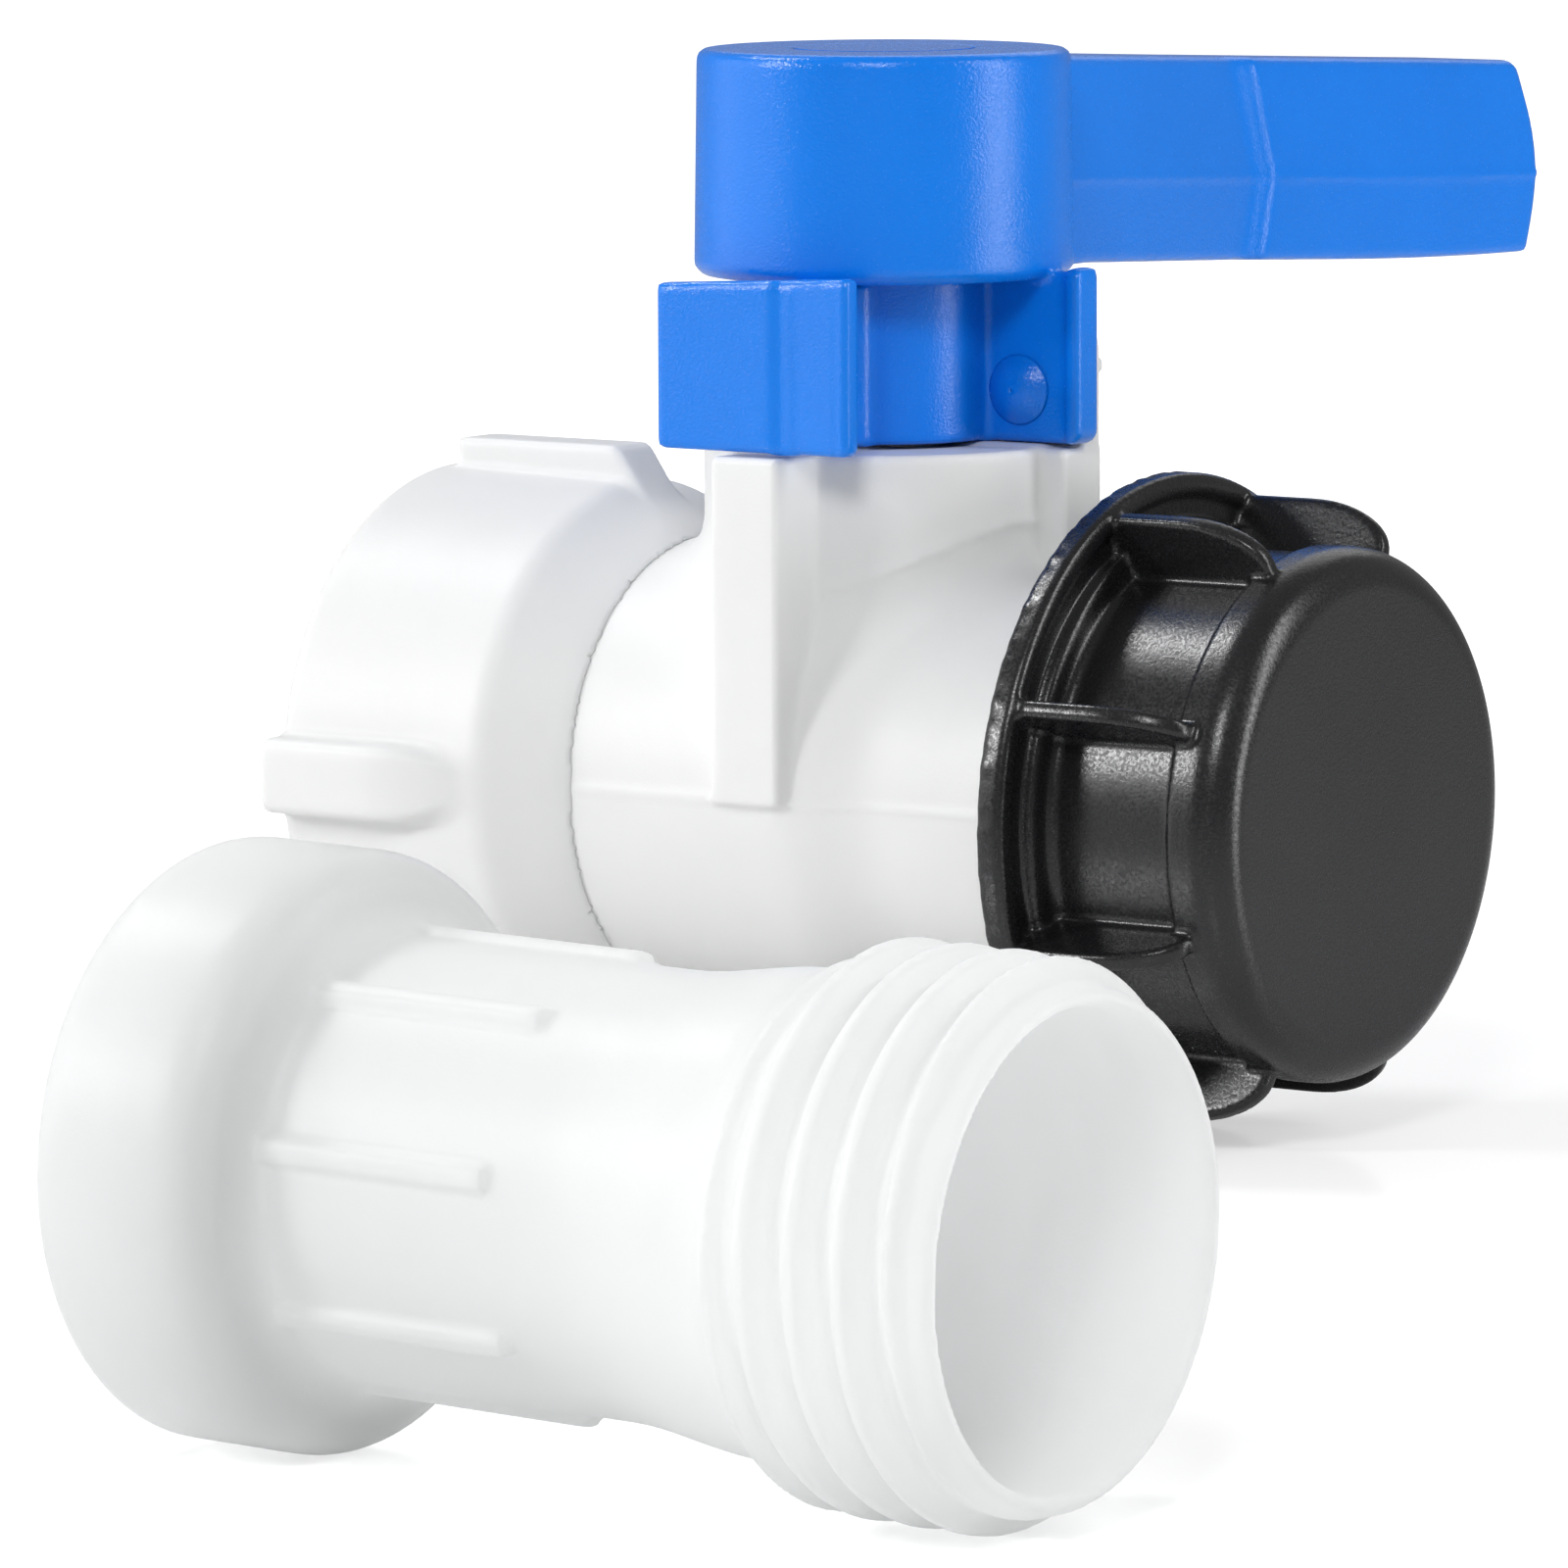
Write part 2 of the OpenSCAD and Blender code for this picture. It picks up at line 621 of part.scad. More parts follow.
// Shield in front of the bonnet, carried by a web from the tube; its top rises a little towards the right
module shield_wing() {
    left = -14.5;
    right = 15.7;
    back = -shield_reach + wing_t;
    foot = hub_bottom + 0.1;
    rise = 1.5;
    intersection() {
        translate([0, 0, lever_bottom]) linear_extrude(hub_bottom - lever_bottom + 2 * rise) polygon(concat(
            [[left, back], [left, -shield_reach + 0.8], [left + 0.8, -shield_reach]],
            [[web_x + 0.4, -shield_reach], [web_x + 1.4, -shield_reach + 0.7], [web_x + 2.6, -shield_reach + 0.7]],
            [[web_x + 5, -shield_reach - 0.1], [right - 1, -shield_reach - 0.1], [right, -shield_reach + 1]],
            [[right, back]]));
        rotate([90, 0, 0]) linear_extrude(2 * shield_reach) polygon([[left - 1, lever_bottom - 1],
            [right - 1.2, lever_bottom - 1], [right + 0.1, lever_bottom + 1.1], [right + 0.1, foot + rise - 0.4],
            [right - 1.4, foot + rise], [left - 1, foot]]);
    }
    translate([web_x, back - 1, lever_bottom])
        cube([wing_t, shield_reach - wing_t - tube_r + 2.4, hub_bottom - 0.3 - lever_bottom]);
}

// Ribs that tie the hub's shell to its tube
module hub_ribs() {
    for (a = [30 : 60 : 330]) rotate([0, 0, a])
        translate([tube_r - 0.6, -1, hub_bottom + 3]) cube([hub_r - hub_wall - tube_r + 1, 2, hub_h - 5]);
}

module lever() {
    color(blue) at_ball() {
        difference() {
            union() {
                hub_shell();
                difference() {
                    arm();
                    translate([0, 0, 0]) cylinder(r = hub_r - hub_wall + 0.1, h = hub_top + 20);
                }
                hub_ribs();
                stop_wing();
                shield_wing();
            }
            translate([0, 0, lever_bottom - cut]) cylinder(r = tube_r - 0.4, h = hub_top);
        }
        hub_tube();
    }
}

module lever_washer() {
    color(steel) at_ball() translate([0, 0, floor_z + floor_t + 0.02]) difference() {
        cylinder(r = 8.5, h = 1.6);
        translate([0, 0, -cut]) cylinder(r = screw_r + 0.3, h = 4);
    }
}

// Hexagon head screw down the middle of the stem
module lever_screw() {
    seat_z = floor_z + floor_t + 1.66;
    color(steel) at_ball() {
        translate([0, 0, square_top - 14]) cylinder(r = screw_r, h = seat_z - square_top + 14);
        translate([0, 0, seat_z]) cylinder(r = 5.8, h = 4, $fn = 6);
    }
}

module hub_plug() {
    color(blue) at_ball() {
        translate([0, 0, hub_top - 1.55]) cylinder(r = plug_r, h = 1.55);
        translate([0, 0, hub_top - 7]) difference() {
            cylinder(r = well_r - press, h = 6);
            translate([0, 0, -cut]) cylinder(r = well_r - 1.8, h = 6);
        }
    }
}

// Pin with a domed head, pushed through the stop wing into the closed stop
module lock_pin() {
    dome = 2;
    front = wing_y - wing_t;
    ball_size = (pow(pin_head_d / 2, 2) + dome * dome) / (2 * dome);
    nose = 1.2;
    reach = closed_stop_y + nose;
    color(blue) at_ball() translate([pin_x, 0, pin_z]) rotate([-90, 0, 0]) rotate_extrude() polygon(concat(
        [[0, front - 0.02 - dome]],
        [for (i = [1 : 6]) let (r = pin_head_d / 2 * i / 6) [r, front - 0.02 - dome + ball_size
            - sqrt(ball_size * ball_size - r * r)]],
        [[pin_d / 2, front - 0.02], [pin_d / 2, reach - 1], [pin_d / 2 - 0.7, reach], [0, reach]]));
}

module cap_liner() {
    color(rubber) at_ball() translate([outlet_reach + stop_gap, 0, 0]) rotate([0, 90, 0])
        cylinder(r = female_r - 0.4, h = liner_t);
}

// Grip rib, level with the flange and rounded down onto the cap's front
module cap_rib() {
    top = stand_height - 0.9;
    level_to = cap_face - 14;
    front = cap_face - 4;
    low = cap_r + 0.6;
    translate([0, cap_rib_t / 2, 0]) rotate([90, 0, 0]) linear_extrude(cap_rib_t) polygon(concat(
        [[cap_back + 1, cap_r - 1], [cap_back + 1, top], [level_to, top]],
        [for (i = [1 : 8]) let (a = 90 * i / 8)
            [level_to + (front - level_to) * sin(a), low + (top - low) * cos(a)]],
        [[front, cap_r - 1]]));
}

module dust_cap() {
    rim_r = cap_r + 1.2;
    rim_back = cap_face - 11;
    fillet = 1.8;
    color(black) at_ball() difference() {
        union() {
            lathe_x(concat(
                [[0, cap_back], [stand_height - 0.3, cap_back], [stand_height, cap_back + 0.3]],
                [[stand_height, cap_back + cap_flange_t - 0.3], [stand_height - 0.3, cap_back + cap_flange_t]],
                arc(cap_r + fillet, cap_back + cap_flange_t + fillet, fillet, 270, 180, 5),
                [[cap_r, rim_back], [rim_r - 0.4, rim_back], [rim_r, rim_back + 0.4]],
                arc(rim_r - cap_round, cap_face - cap_round, cap_round, 0, 90, 8),
                [[0, cap_face]]));
            for (i = [0 : cap_ribs - 1]) rotate([180 / cap_ribs + 360 * i / cap_ribs, 0, 0]) cap_rib();
        }
        lathe_x([[0, cap_back - cut], [female_r + 0.8, cap_back - cut], [female_r + 0.8, cap_back],
            [female_r, cap_back + 0.8], [female_r, cap_face - cap_face_t], [0, cap_face - cap_face_t]]);
    }
}

// The pipe lies on its socket and its thread, so its axis slopes down a little towards the mouth
pipe_tilt = atan((socket_r - thread_r) / (pipe_length - pipe_first_crest - 3));
pipe_axis_z = -stand_height + thread_r * cos(pipe_tilt) - pipe_first_crest * sin(pipe_tilt);

module at_pipe() {
    translate([inlet_reach + pipe_place_x, -pipe_place_y, pipe_axis_z]) rotate([0, pipe_tilt, 0]) children();
}

gasket_seat_r = female_r - 1;
shoulder_start = -pipe_length + socket_depth + 0.4;
shoulder_end = shoulder_start + 8;

// Low rib along the waist, from the corner below the shoulder
module pipe_rib() {
    height = 1.3;
    end = shoulder_end + 0.82 * waist_run;
    translate([0, pipe_rib_w / 2, 0]) rotate([90, 0, 0]) linear_extrude(pipe_rib_w) polygon([
        [end, waist_r - 1], [end, waist_r + height], [shoulder_end - 1, waist_r + height],
        [shoulder_end - 1, waist_r - 1]]);
}

module extension_pipe() {
    thread_start = -pipe_first_crest - (crest_count - 0.5) * thread_pitch;
    mouth_r = root_r - 2.4;
    waist_bore = waist_r - pipe_wall;
    color(milky) at_pipe() difference() {
        union() {
            lathe_x(concat(
                [[0, -pipe_length]],
                arc(socket_r - 3, -pipe_length + 3, 3, -90, 0, 6),
                arc(socket_r - socket_round, shoulder_start, socket_round, 0, 80, 8),
                [[waist_r + 1.2, shoulder_end - 1.3], [waist_r + 0.3, shoulder_end - 0.7], [waist_r, shoulder_end]],
                blend(waist_r, shoulder_end + waist_run, waist_r + 2, thread_start - 5, 5),
                [[root_r, thread_start + 0.5]],
                turned(concat([[mouth_r + 1.4, 0], [root_r - 0.3, -0.5], [root_r, -2]],
                    crests(root_r, thread_r, pipe_first_crest, crest_count))),
                [[0, 0]]));
            for (i = [0 : pipe_ribs - 1]) rotate([80 + 360 * i / pipe_ribs, 0, 0]) pipe_rib();
        }
        lathe_x(concat(
            [[0, -pipe_length - cut], [female_r + 0.9, -pipe_length - cut], [female_r + 0.9, -pipe_length]],
            [[female_r, -pipe_length + 0.9], [female_r, -pipe_length + socket_depth]],
            [[gasket_seat_r, -pipe_length + socket_depth], [gasket_seat_r, -pipe_length + socket_depth + gasket_t]],
            [[waist_bore, -pipe_length + socket_depth + gasket_t], [waist_bore, shoulder_end + waist_run]],
            [[waist_bore + 1.2, thread_start - 5]],
            [[mouth_r - 0.4, thread_start + 3], [mouth_r - 0.4, -1.2], [mouth_r + 0.2, 0], [mouth_r + 0.2, cut]],
            [[0, cut]]));
    }
}

module pipe_gasket() {
    front = -pipe_length + socket_depth + 0.02;
    back = front + gasket_t - 0.04;
    outer = gasket_seat_r - 0.3;
    color(rubber) at_pipe() lathe_x([[waist_r + 1, front], [outer, front], [outer, back], [waist_r + 1, back]]);
}

valve_body();
outlet_seat();
outlet_seat_o_ring();
ball();
inlet_seat();
inlet_seat_o_ring();
seat_carrier();
carrier_o_ring();
inlet_gasket();
inlet_nut();
thrust_washer();
stem();
lower_stem_o_ring();
upper_stem_o_ring();
gland_bush();
lever();
lever_washer();
lever_screw();
hub_plug();
lock_pin();
cap_liner();
dust_cap();
extension_pipe();
pipe_gasket();
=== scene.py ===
"""Rain barrel tap with its loose extension pipe: the moulded shells, materials, light and camera.

The moulded pieces are described as fields: a field gives, at each point in millimetres, the
distance to the piece's skin, below zero inside. surface() turns a field into a mesh.
Places on the tap are counted from the middle of the ball, places on the pipe from its mouth.
"""
import json
import math

import bpy
import numpy as np
from mathutils import Matrix, Vector


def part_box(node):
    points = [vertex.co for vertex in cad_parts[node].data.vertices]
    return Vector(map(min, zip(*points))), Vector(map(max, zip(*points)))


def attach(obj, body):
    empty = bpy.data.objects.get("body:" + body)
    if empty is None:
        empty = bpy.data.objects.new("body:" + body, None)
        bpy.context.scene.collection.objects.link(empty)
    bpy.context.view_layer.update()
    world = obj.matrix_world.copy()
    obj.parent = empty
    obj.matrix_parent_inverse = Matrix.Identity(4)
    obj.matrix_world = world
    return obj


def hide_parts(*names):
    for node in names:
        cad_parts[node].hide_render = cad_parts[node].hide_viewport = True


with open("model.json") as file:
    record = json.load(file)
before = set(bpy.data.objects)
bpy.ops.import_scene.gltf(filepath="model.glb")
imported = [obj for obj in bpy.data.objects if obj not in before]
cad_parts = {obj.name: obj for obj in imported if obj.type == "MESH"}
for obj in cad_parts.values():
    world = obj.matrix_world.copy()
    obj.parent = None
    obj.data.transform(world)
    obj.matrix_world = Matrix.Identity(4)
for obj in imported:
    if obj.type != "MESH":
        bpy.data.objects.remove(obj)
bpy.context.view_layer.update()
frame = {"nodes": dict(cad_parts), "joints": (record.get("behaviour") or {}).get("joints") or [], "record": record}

# Sizes in millimetres, as in the part's source where it has them

joints = {joint["name"]: joint for joint in frame["joints"]}
mounts = {mount["name"]: mount for mount in frame["record"]["mounts"]}
BALL_X = joints["lever_turn"]["pos_m"][0] * 1000
FLOOR_Z = min(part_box(node)[0].z for node in frame["nodes"])
STAND = -FLOOR_Z * 1000

PITCH = 6.0
THREAD_R = 30.0
ROOT_R = 27.3
FEMALE_R = 30.3
FEMALE_DEPTH = 2.2

COLLAR_END = -40.0
COLLAR_R = 31.0
CHAMBER_R = 30.5
CAVITY_R = 26.9
CARRIER_BORE_R = 17.4
NECK_BORE_R = 23.3
OUTLET_RIM = 69.5
OUTLET_FIRST_CREST = 3.6
CREST_COUNT = 4
BONNET_R = 23.5
BONNET_TOP = 44.4
STEM_HOLE_R = 9.08
FIN_HALF = 5.25
FIN_REACH = 32.0
STOP_FRONT = 27.8
OPEN_STOP_REACH = -25.0
STOP_FOOT = 15.3

NUT_OPEN = -BALL_X
NUT_FRONT = -29.6
NUT_REAR_R = 38.4
NUT_R = 37.6
NUT_SHOULDER = NUT_FRONT - 12
NUT_SHOULDER_ROUND = 6.0
LUG_R = STAND - 0.2

LEVER_BOTTOM = 45.0
HUB_BOTTOM = 66.2
HUB_TOP = 95.6
HUB_R = 24.3
TUBE_R = 14.7
LEVER_REACH = 148.2
CREASE = 80.0
ARM_WALL = 2.6
SHIELD_Y = -31.0
SHIELD_LEFT = -14.5
SHIELD_RIGHT = 15.7
WING_Y = 5.0
WING_REACH = 29.8
PIN_X = 19.8
PIN_Z = 51.8
PIN_R = 3.0

CAP_BACK = 42.9
CAP_FLANGE = 3.8
CAP_R = 33.0
CAP_FACE = 74.5
CAP_FACE_ROUND = 5.0
CAP_ROOF = 71.3

PIPE_LENGTH = 111.6
SOCKET_R = 32.5
SOCKET_ROUND = 5.2
SOCKET_BACK_ROUND = 3.4
WAIST_R = 23.8
WAIST_RUN = 35.0
WAIST_WALL = 2.6
PIPE_RIB_HEIGHT = 1.3
PIPE_RIB_HALF = 1.4
PIPE_RIB_SHARE = 0.82
PIPE_FIRST_CREST = 6.4

# A field is only kept this near to the skin
BAND = 2.4


# Distances to simple solids

def box_field(x, y, z, low, high, round_r=0.0):
    """Distance to a box with all its edges rounded."""
    sides = []
    for value, a, b in zip((x, y, z), low, high):
        sides.append(np.abs(value - (a + b) / 2) - (b - a) / 2 + round_r)
    outside = np.sqrt(sum(np.maximum(side, 0) ** 2 for side in sides))
    inside = np.minimum(np.maximum(np.maximum(sides[0], sides[1]), sides[2]), 0)
    return outside + inside - round_r


def join(a, b, fillet):
    """Both solids, with a hollow fillet of that radius where they meet."""
    if not fillet:
        return np.minimum(a, b)
    corner = np.hypot(np.maximum(fillet - a, 0), np.maximum(fillet - b, 0))
    return np.maximum(fillet, np.minimum(a, b)) - corner


def common(a, b, round_r=0.0):
    """What lies in both solids, its edge rounded by that radius."""
    return -join(-a, -b, round_r)


def less(a, b, round_r=0.0):
    """The first solid without the second."""
    return common(a, -b, round_r)


def step(value, low, high):
    """0 below low, 1 above high, smooth between."""
    t = np.clip((value - low) / (high - low), 0, 1)
    return t * t * (3 - 2 * t)


def arc(cx, cy, r, start, end, steps=10):
    """Points on a circle's arc, angles in degrees."""
    angles = np.radians(np.linspace(start, end, steps + 1))
    return [(cx + r * math.cos(a), cy + r * math.sin(a)) for a in angles]


def ease(r1, x1, r2, x2, steps=14):
    """Points from one radius to another with level ends."""
    ts = np.linspace(0, 1, steps + 1)
    return [(r1 + (r2 - r1) * (1 - math.cos(math.pi * t)) / 2, x1 + (x2 - x1) * t) for t in ts]


class Outline:
    """Signed distance to a closed outline, kept on a fine grid and read between its points."""

    MARGIN = 4.0

    def __init__(self, points, pitch=0.2):
        points = np.array(points, float)
        self.pitch = pitch
        self.low = points.min(0) - self.MARGIN
        self.count = np.ceil((points.max(0) + self.MARGIN - self.low) / pitch).astype(int) + 1
        u = self.low[0] + pitch * np.arange(self.count[0])[:, None]
        v = self.low[1] + pitch * np.arange(self.count[1])[None, :]
        nearest = np.full(self.count, 1e9)
        inside = np.zeros(self.count, bool)
        for (u1, v1), (u2, v2) in zip(points, np.roll(points, -1, axis=0)):
            du, dv = u2 - u1, v2 - v1
            length = du * du + dv * dv
            if length < 1e-12:
                continue
            t = np.clip(((u - u1) * du + (v - v1) * dv) / length, 0, 1)
            nearest = np.minimum(nearest, (u - u1 - t * du) ** 2 + (v - v1 - t * dv) ** 2)
            if v1 != v2:
                crosses = (v1 > v) != (v2 > v)
                inside ^= crosses & (u < u1 + (v - v1) * du / dv)
        self.table = (np.sqrt(nearest) * np.where(inside, -1, 1)).astype(np.float32)

    def __call__(self, u, v):
        gu = (u - self.low[0]) / self.pitch
        gv = (v - self.low[1]) / self.pitch
        cu = np.clip(gu, 0, self.count[0] - 1.001)
        cv = np.clip(gv, 0, self.count[1] - 1.001)
        i, j = cu.astype(np.int32), cv.astype(np.int32)
        fu, fv = cu - i, cv - j
        t = self.table
        near = (t[i, j] * (1 - fu) + t[i + 1, j] * fu) * (1 - fv)
        near = near + (t[i, j + 1] * (1 - fu) + t[i + 1, j + 1] * fu) * fv
        away = np.hypot(gu - cu, gv - cv) * self.pitch
        return np.where(away > 0, away + self.MARGIN, near)


CREST_FLAT, CREST_FOOT = 0.13, 0.36
RUN_OUT_NEAR, RUN_OUT_FAR = 0.1, 0.75
SCREW_SLOPE = 0.72


def ridge(x, angle, first, count, depth):
    """Height of a helical thread at a place along the run: count turns back from the first crest."""
    along = x - first - PITCH * angle / (2 * math.pi)
    turn = (along + PITCH / 2) % PITCH - PITCH / 2
    height = 1 - step(np.abs(turn), CREST_FLAT * PITCH, CREST_FOOT * PITCH)
    last = first - (count - 1) * PITCH
    rise = step(x, last - RUN_OUT_FAR * PITCH, last - RUN_OUT_NEAR * PITCH)
    fall = 1 - step(x, first + RUN_OUT_NEAR * PITCH, first + RUN_OUT_FAR * PITCH)
    return depth * height * (rise * fall)


# From a field to a mesh

def sample(field, low, high, cell):
    """The field's values on a grid, worked out only near the skin."""
    block = 8
    low = np.array(low, float) - 2 * cell
    counts = np.ceil((np.array(high, float) + 2 * cell - low) / (cell * block)).astype(int)
    middles = [low[a] + ((np.arange(counts[a]) + 0.5) * block - 0.5) * cell for a in range(3)]
    far = field(*np.meshgrid(*middles, indexing="ij"))
    near = np.abs(far) < BAND + block * cell
    values = np.empty((*counts, block, block, block), np.float32)
    values[:] = np.where(far < 0, -BAND, BAND)[..., None, None, None]
    offsets = np.arange(block) * cell
    index = np.argwhere(near)
    for part in np.array_split(index, max(1, len(index) // 900)):
        if len(part) == 0:
            continue
        corner = low + part * block * cell
        x = corner[:, 0, None, None, None] + offsets[None, :, None, None]
        y = corner[:, 1, None, None, None] + offsets[None, None, :, None]
        z = corner[:, 2, None, None, None] + offsets[None, None, None, :]
        x, y, z = np.broadcast_arrays(x, y, z)
        values[tuple(part.T)] = np.clip(field(x, y, z), -BAND, BAND)
    grid = values.transpose(0, 3, 1, 4, 2, 5).reshape(counts * block)
    return grid, low


def soften(grid, sigma):
    """The grid blurred, which rounds every edge and corner a little."""
    reach = max(1, int(math.ceil(2.5 * sigma)))
    taps = np.exp(-0.5 * (np.arange(-reach, reach + 1) / sigma) ** 2)
    taps /= taps.sum()
    for axis in range(3):
        padding = [(reach, reach) if a == axis else (0, 0) for a in range(3)]
        padded = np.pad(grid, padding, mode="edge")
        total = np.zeros_like(grid)
        for k, tap in enumerate(taps):
            cut = [slice(None)] * 3
            cut[axis] = slice(k, k + grid.shape[axis])
            total += np.float32(tap) * padded[tuple(cut)]
        grid = total
    return grid


def net(grid, low, cell):
    """Points and four-sided faces of the surface where the grid passes through zero."""
    inside = grid < 0
    shape = np.array(grid.shape)
    size = int(shape.prod())
    strides = np.array([shape[1] * shape[2], shape[2], 1])
    flat = grid.ravel()
    sums = np.zeros((size, 3), np.float32)
    hits = np.zeros(size, np.int32)
    faces = []
    for axis in range(3):
        first = [slice(None)] * 3
        second = [slice(None)] * 3
        first[axis] = slice(0, -1)
        second[axis] = slice(1, None)
        change = np.argwhere(inside[tuple(first)] != inside[tuple(second)])
        others = [a for a in range(3) if a != axis]
        keep = (change[:, others[0]] > 0) & (change[:, others[1]] > 0)
        change = change[keep]
        start = change @ strides
        a, b = flat[start], flat[start + strides[axis]]
        point = change.astype(np.float32)
        point[:, axis] += a / (a - b)
        one, two = strides[others[0]], strides[others[1]]
        cells = [start, start - one, start - one - two, start - two]
        for c in cells:
            for k in range(3):
                sums[:, k] += np.bincount(c, point[:, k], size).astype(np.float32)
            hits += np.bincount(c, minlength=size).astype(np.int32)
        quad = np.stack(cells, 1)
        flip = (a < 0) == (axis == 1)
        quad[flip] = quad[flip][:, ::-1]
        faces.append(quad)
    used = np.flatnonzero(hits)
    points = sums[used] / hits[used, None]
    number = np.zeros(size, np.int32)
    number[used] = np.arange(len(used))
    return points * cell + np.array(low), number[np.concatenate(faces)]


def mesh_object(name, points, faces):
    """A smooth mesh object from points in metres and faces of one size."""
    mesh = bpy.data.meshes.new(name)
    corners = faces.shape[1]
    mesh.vertices.add(len(points))
    mesh.vertices.foreach_set("co", np.asarray(points, np.float32).ravel())
    mesh.loops.add(len(faces) * corners)
    mesh.loops.foreach_set("vertex_index", np.asarray(faces, np.int32).ravel())
    mesh.polygons.add(len(faces))
    mesh.polygons.foreach_set("loop_start", np.arange(len(faces), dtype=np.int32) * corners)
    mesh.polygons.foreach_set("use_smooth", np.ones(len(faces), bool))
    mesh.update(calc_edges=True)
    mesh.validate()
    piece = bpy.data.objects.new(name, mesh)
    bpy.context.scene.collection.objects.link(piece)
    return piece


TAP = Matrix.Translation((BALL_X / 1000, 0, 0))


def pipe_place():
    """The pipe's own frame: its mouth and the way it points, from its outlet mount."""
    mount = mounts["pipe_outlet"]
    along = Vector(mount["axis"]).normalized()
    mouth = Vector(mount["pos_m"]) + along * (PIPE_FIRST_CREST - 0.72) / 1000
    across = Vector((0, 1, 0))
    up = along.cross(across)
    turned = Matrix((along, across, up)).transposed().to_4x4()
    return Matrix.Translation(mouth) @ turned


def surface(name, field, low, high, cell, soft, place):
    """A mesh object of the field's skin, in its place in the frame."""
    grid, corner = sample(field, low, high, cell)
    points, faces = net(soften(grid, soft / cell), corner, cell)
    matrix = np.array(place)
    points = points / 1000 @ matrix[:3, :3].T + matrix[:3, 3]
    return mesh_object(name, points, faces)


def lathe(name, profile, place, segments=160):
    """A mesh turned about the local X axis from (radius, place) points, closed at the axis."""
    angles = np.linspace(0, 2 * math.pi, segments, endpoint=False)
    profile = np.array(profile, float) / 1000
    across, up = np.cos(angles), np.sin(angles)
    rings = [np.stack([np.full(segments, x), r * across, r * up], 1) for r, x in profile]
    points = np.concatenate(rings)
    faces = []
    for ring in range(len(profile)):
        base, after = ring * segments, (ring + 1) % len(profile) * segments
        k = np.arange(segments)
        n = (k + 1) % segments
        faces.append(np.stack([base + k, base + n, after + n, after + k], 1))
    matrix = np.array(place)
    points = points @ matrix[:3, :3].T + matrix[:3, 3]
    return mesh_object(name, points, np.concatenate(faces))


# The white body

def make_body_field():
    """The one-piece body: collar, ball chamber, threaded neck, bonnet, fins and the two stops."""
    outer = Outline(
        [(-5, COLLAR_END), (COLLAR_R - 0.6, COLLAR_END), (COLLAR_R, COLLAR_END + 0.6), (COLLAR_R, -36),
         (29.4, -36)]
        + ease(29.4, -32.4, CHAMBER_R, -29.8, 6) + ease(CHAMBER_R, 2, ROOT_R, 18)
        + [(ROOT_R, OUTLET_RIM - 1), (ROOT_R - 1, OUTLET_RIM), (-5, OUTLET_RIM)])
    inner = Outline(
        [(-5, COLLAR_END - 5), (CAVITY_R, COLLAR_END - 5)] + arc(0, 0, CAVITY_R, 0, 35)
        + [(22.05, 22.7), (CARRIER_BORE_R, 22.7), (CARRIER_BORE_R, 25.7), (NECK_BORE_R, 34.7),
           (NECK_BORE_R, OUTLET_RIM + 5), (-5, OUTLET_RIM + 5)])

    def field(x, y, z):
        r = np.hypot(y, z)
        angle = np.arctan2(z, y)
        seam = 0.34 * (1 - step(np.abs(z), 0.25, 0.75)) * (1 - step(x, 34, 37)) * step(x, -28.6, -27.6)
        tube = outer(r, x) - seam
        crest = ROOT_R + ridge(x, angle, OUTLET_RIM - OUTLET_FIRST_CREST, CREST_COUNT, THREAD_R - ROOT_R)
        screw = common(SCREW_SLOPE * (r - crest), np.abs(x - 54) - 14.5)
        tube = np.minimum(tube, screw)
        out = np.hypot(x, y)
        column = common(common(out - BONNET_R, z - BONNET_TOP, 0.6), -z)
        solid = join(tube, column, 6.5)
        fin_end = (FIN_HALF, FIN_REACH, BONNET_TOP)
        fin = box_field(np.abs(x), np.abs(y), z, (-FIN_HALF, 0, -0.4), fin_end, 0.55)
        solid = join(solid, fin, 1.2)
        stop = box_field(x, y, z, (0, 0.5, 2), (STOP_FRONT, 9, BONNET_TOP), 0.7)
        solid = join(solid, stop, 1.6)
        # The closed stop ends in a tab beside the wing, with a small nub on it
        tab = common(plate(x, z, (STOP_FOOT, 30), (STOP_FRONT, 60), 2.5), np.abs(y - 7.15) - 1.85, 0.3)
        open_stop = plate(x, z, (OPEN_STOP_REACH, 30), (-STOP_FOOT, 58), 2.5)
        open_stop = common(open_stop, np.abs(y + 0.85) - 2.45, 0.3)
        solid = join(solid, tab, 0.5)
        solid = join(solid, open_stop, 0.8)
        nub = np.sqrt((x - 26.2) ** 2 + ((y - 9) * 0.8) ** 2 + (z - 54.8) ** 2) - 1.5
        solid = np.minimum(solid, nub)
        solid = less(solid, inner(r, x))
        # The hole for the stem goes down into the chamber
        stem_hole = np.maximum(out - STEM_HOLE_R, -z)
        return np.maximum(solid, -stem_hole)

    return field


def plate(u, v, low, high, round_r):
    """Distance to a rectangle with rounded corners."""
    a = np.abs(u - (low[0] + high[0]) / 2) - (high[0] - low[0]) / 2 + round_r
    b = np.abs(v - (low[1] + high[1]) / 2) - (high[1] - low[1]) / 2 + round_r
    return np.hypot(np.maximum(a, 0), np.maximum(b, 0)) + np.minimum(np.maximum(a, b), 0) - round_r


# The swivel nut

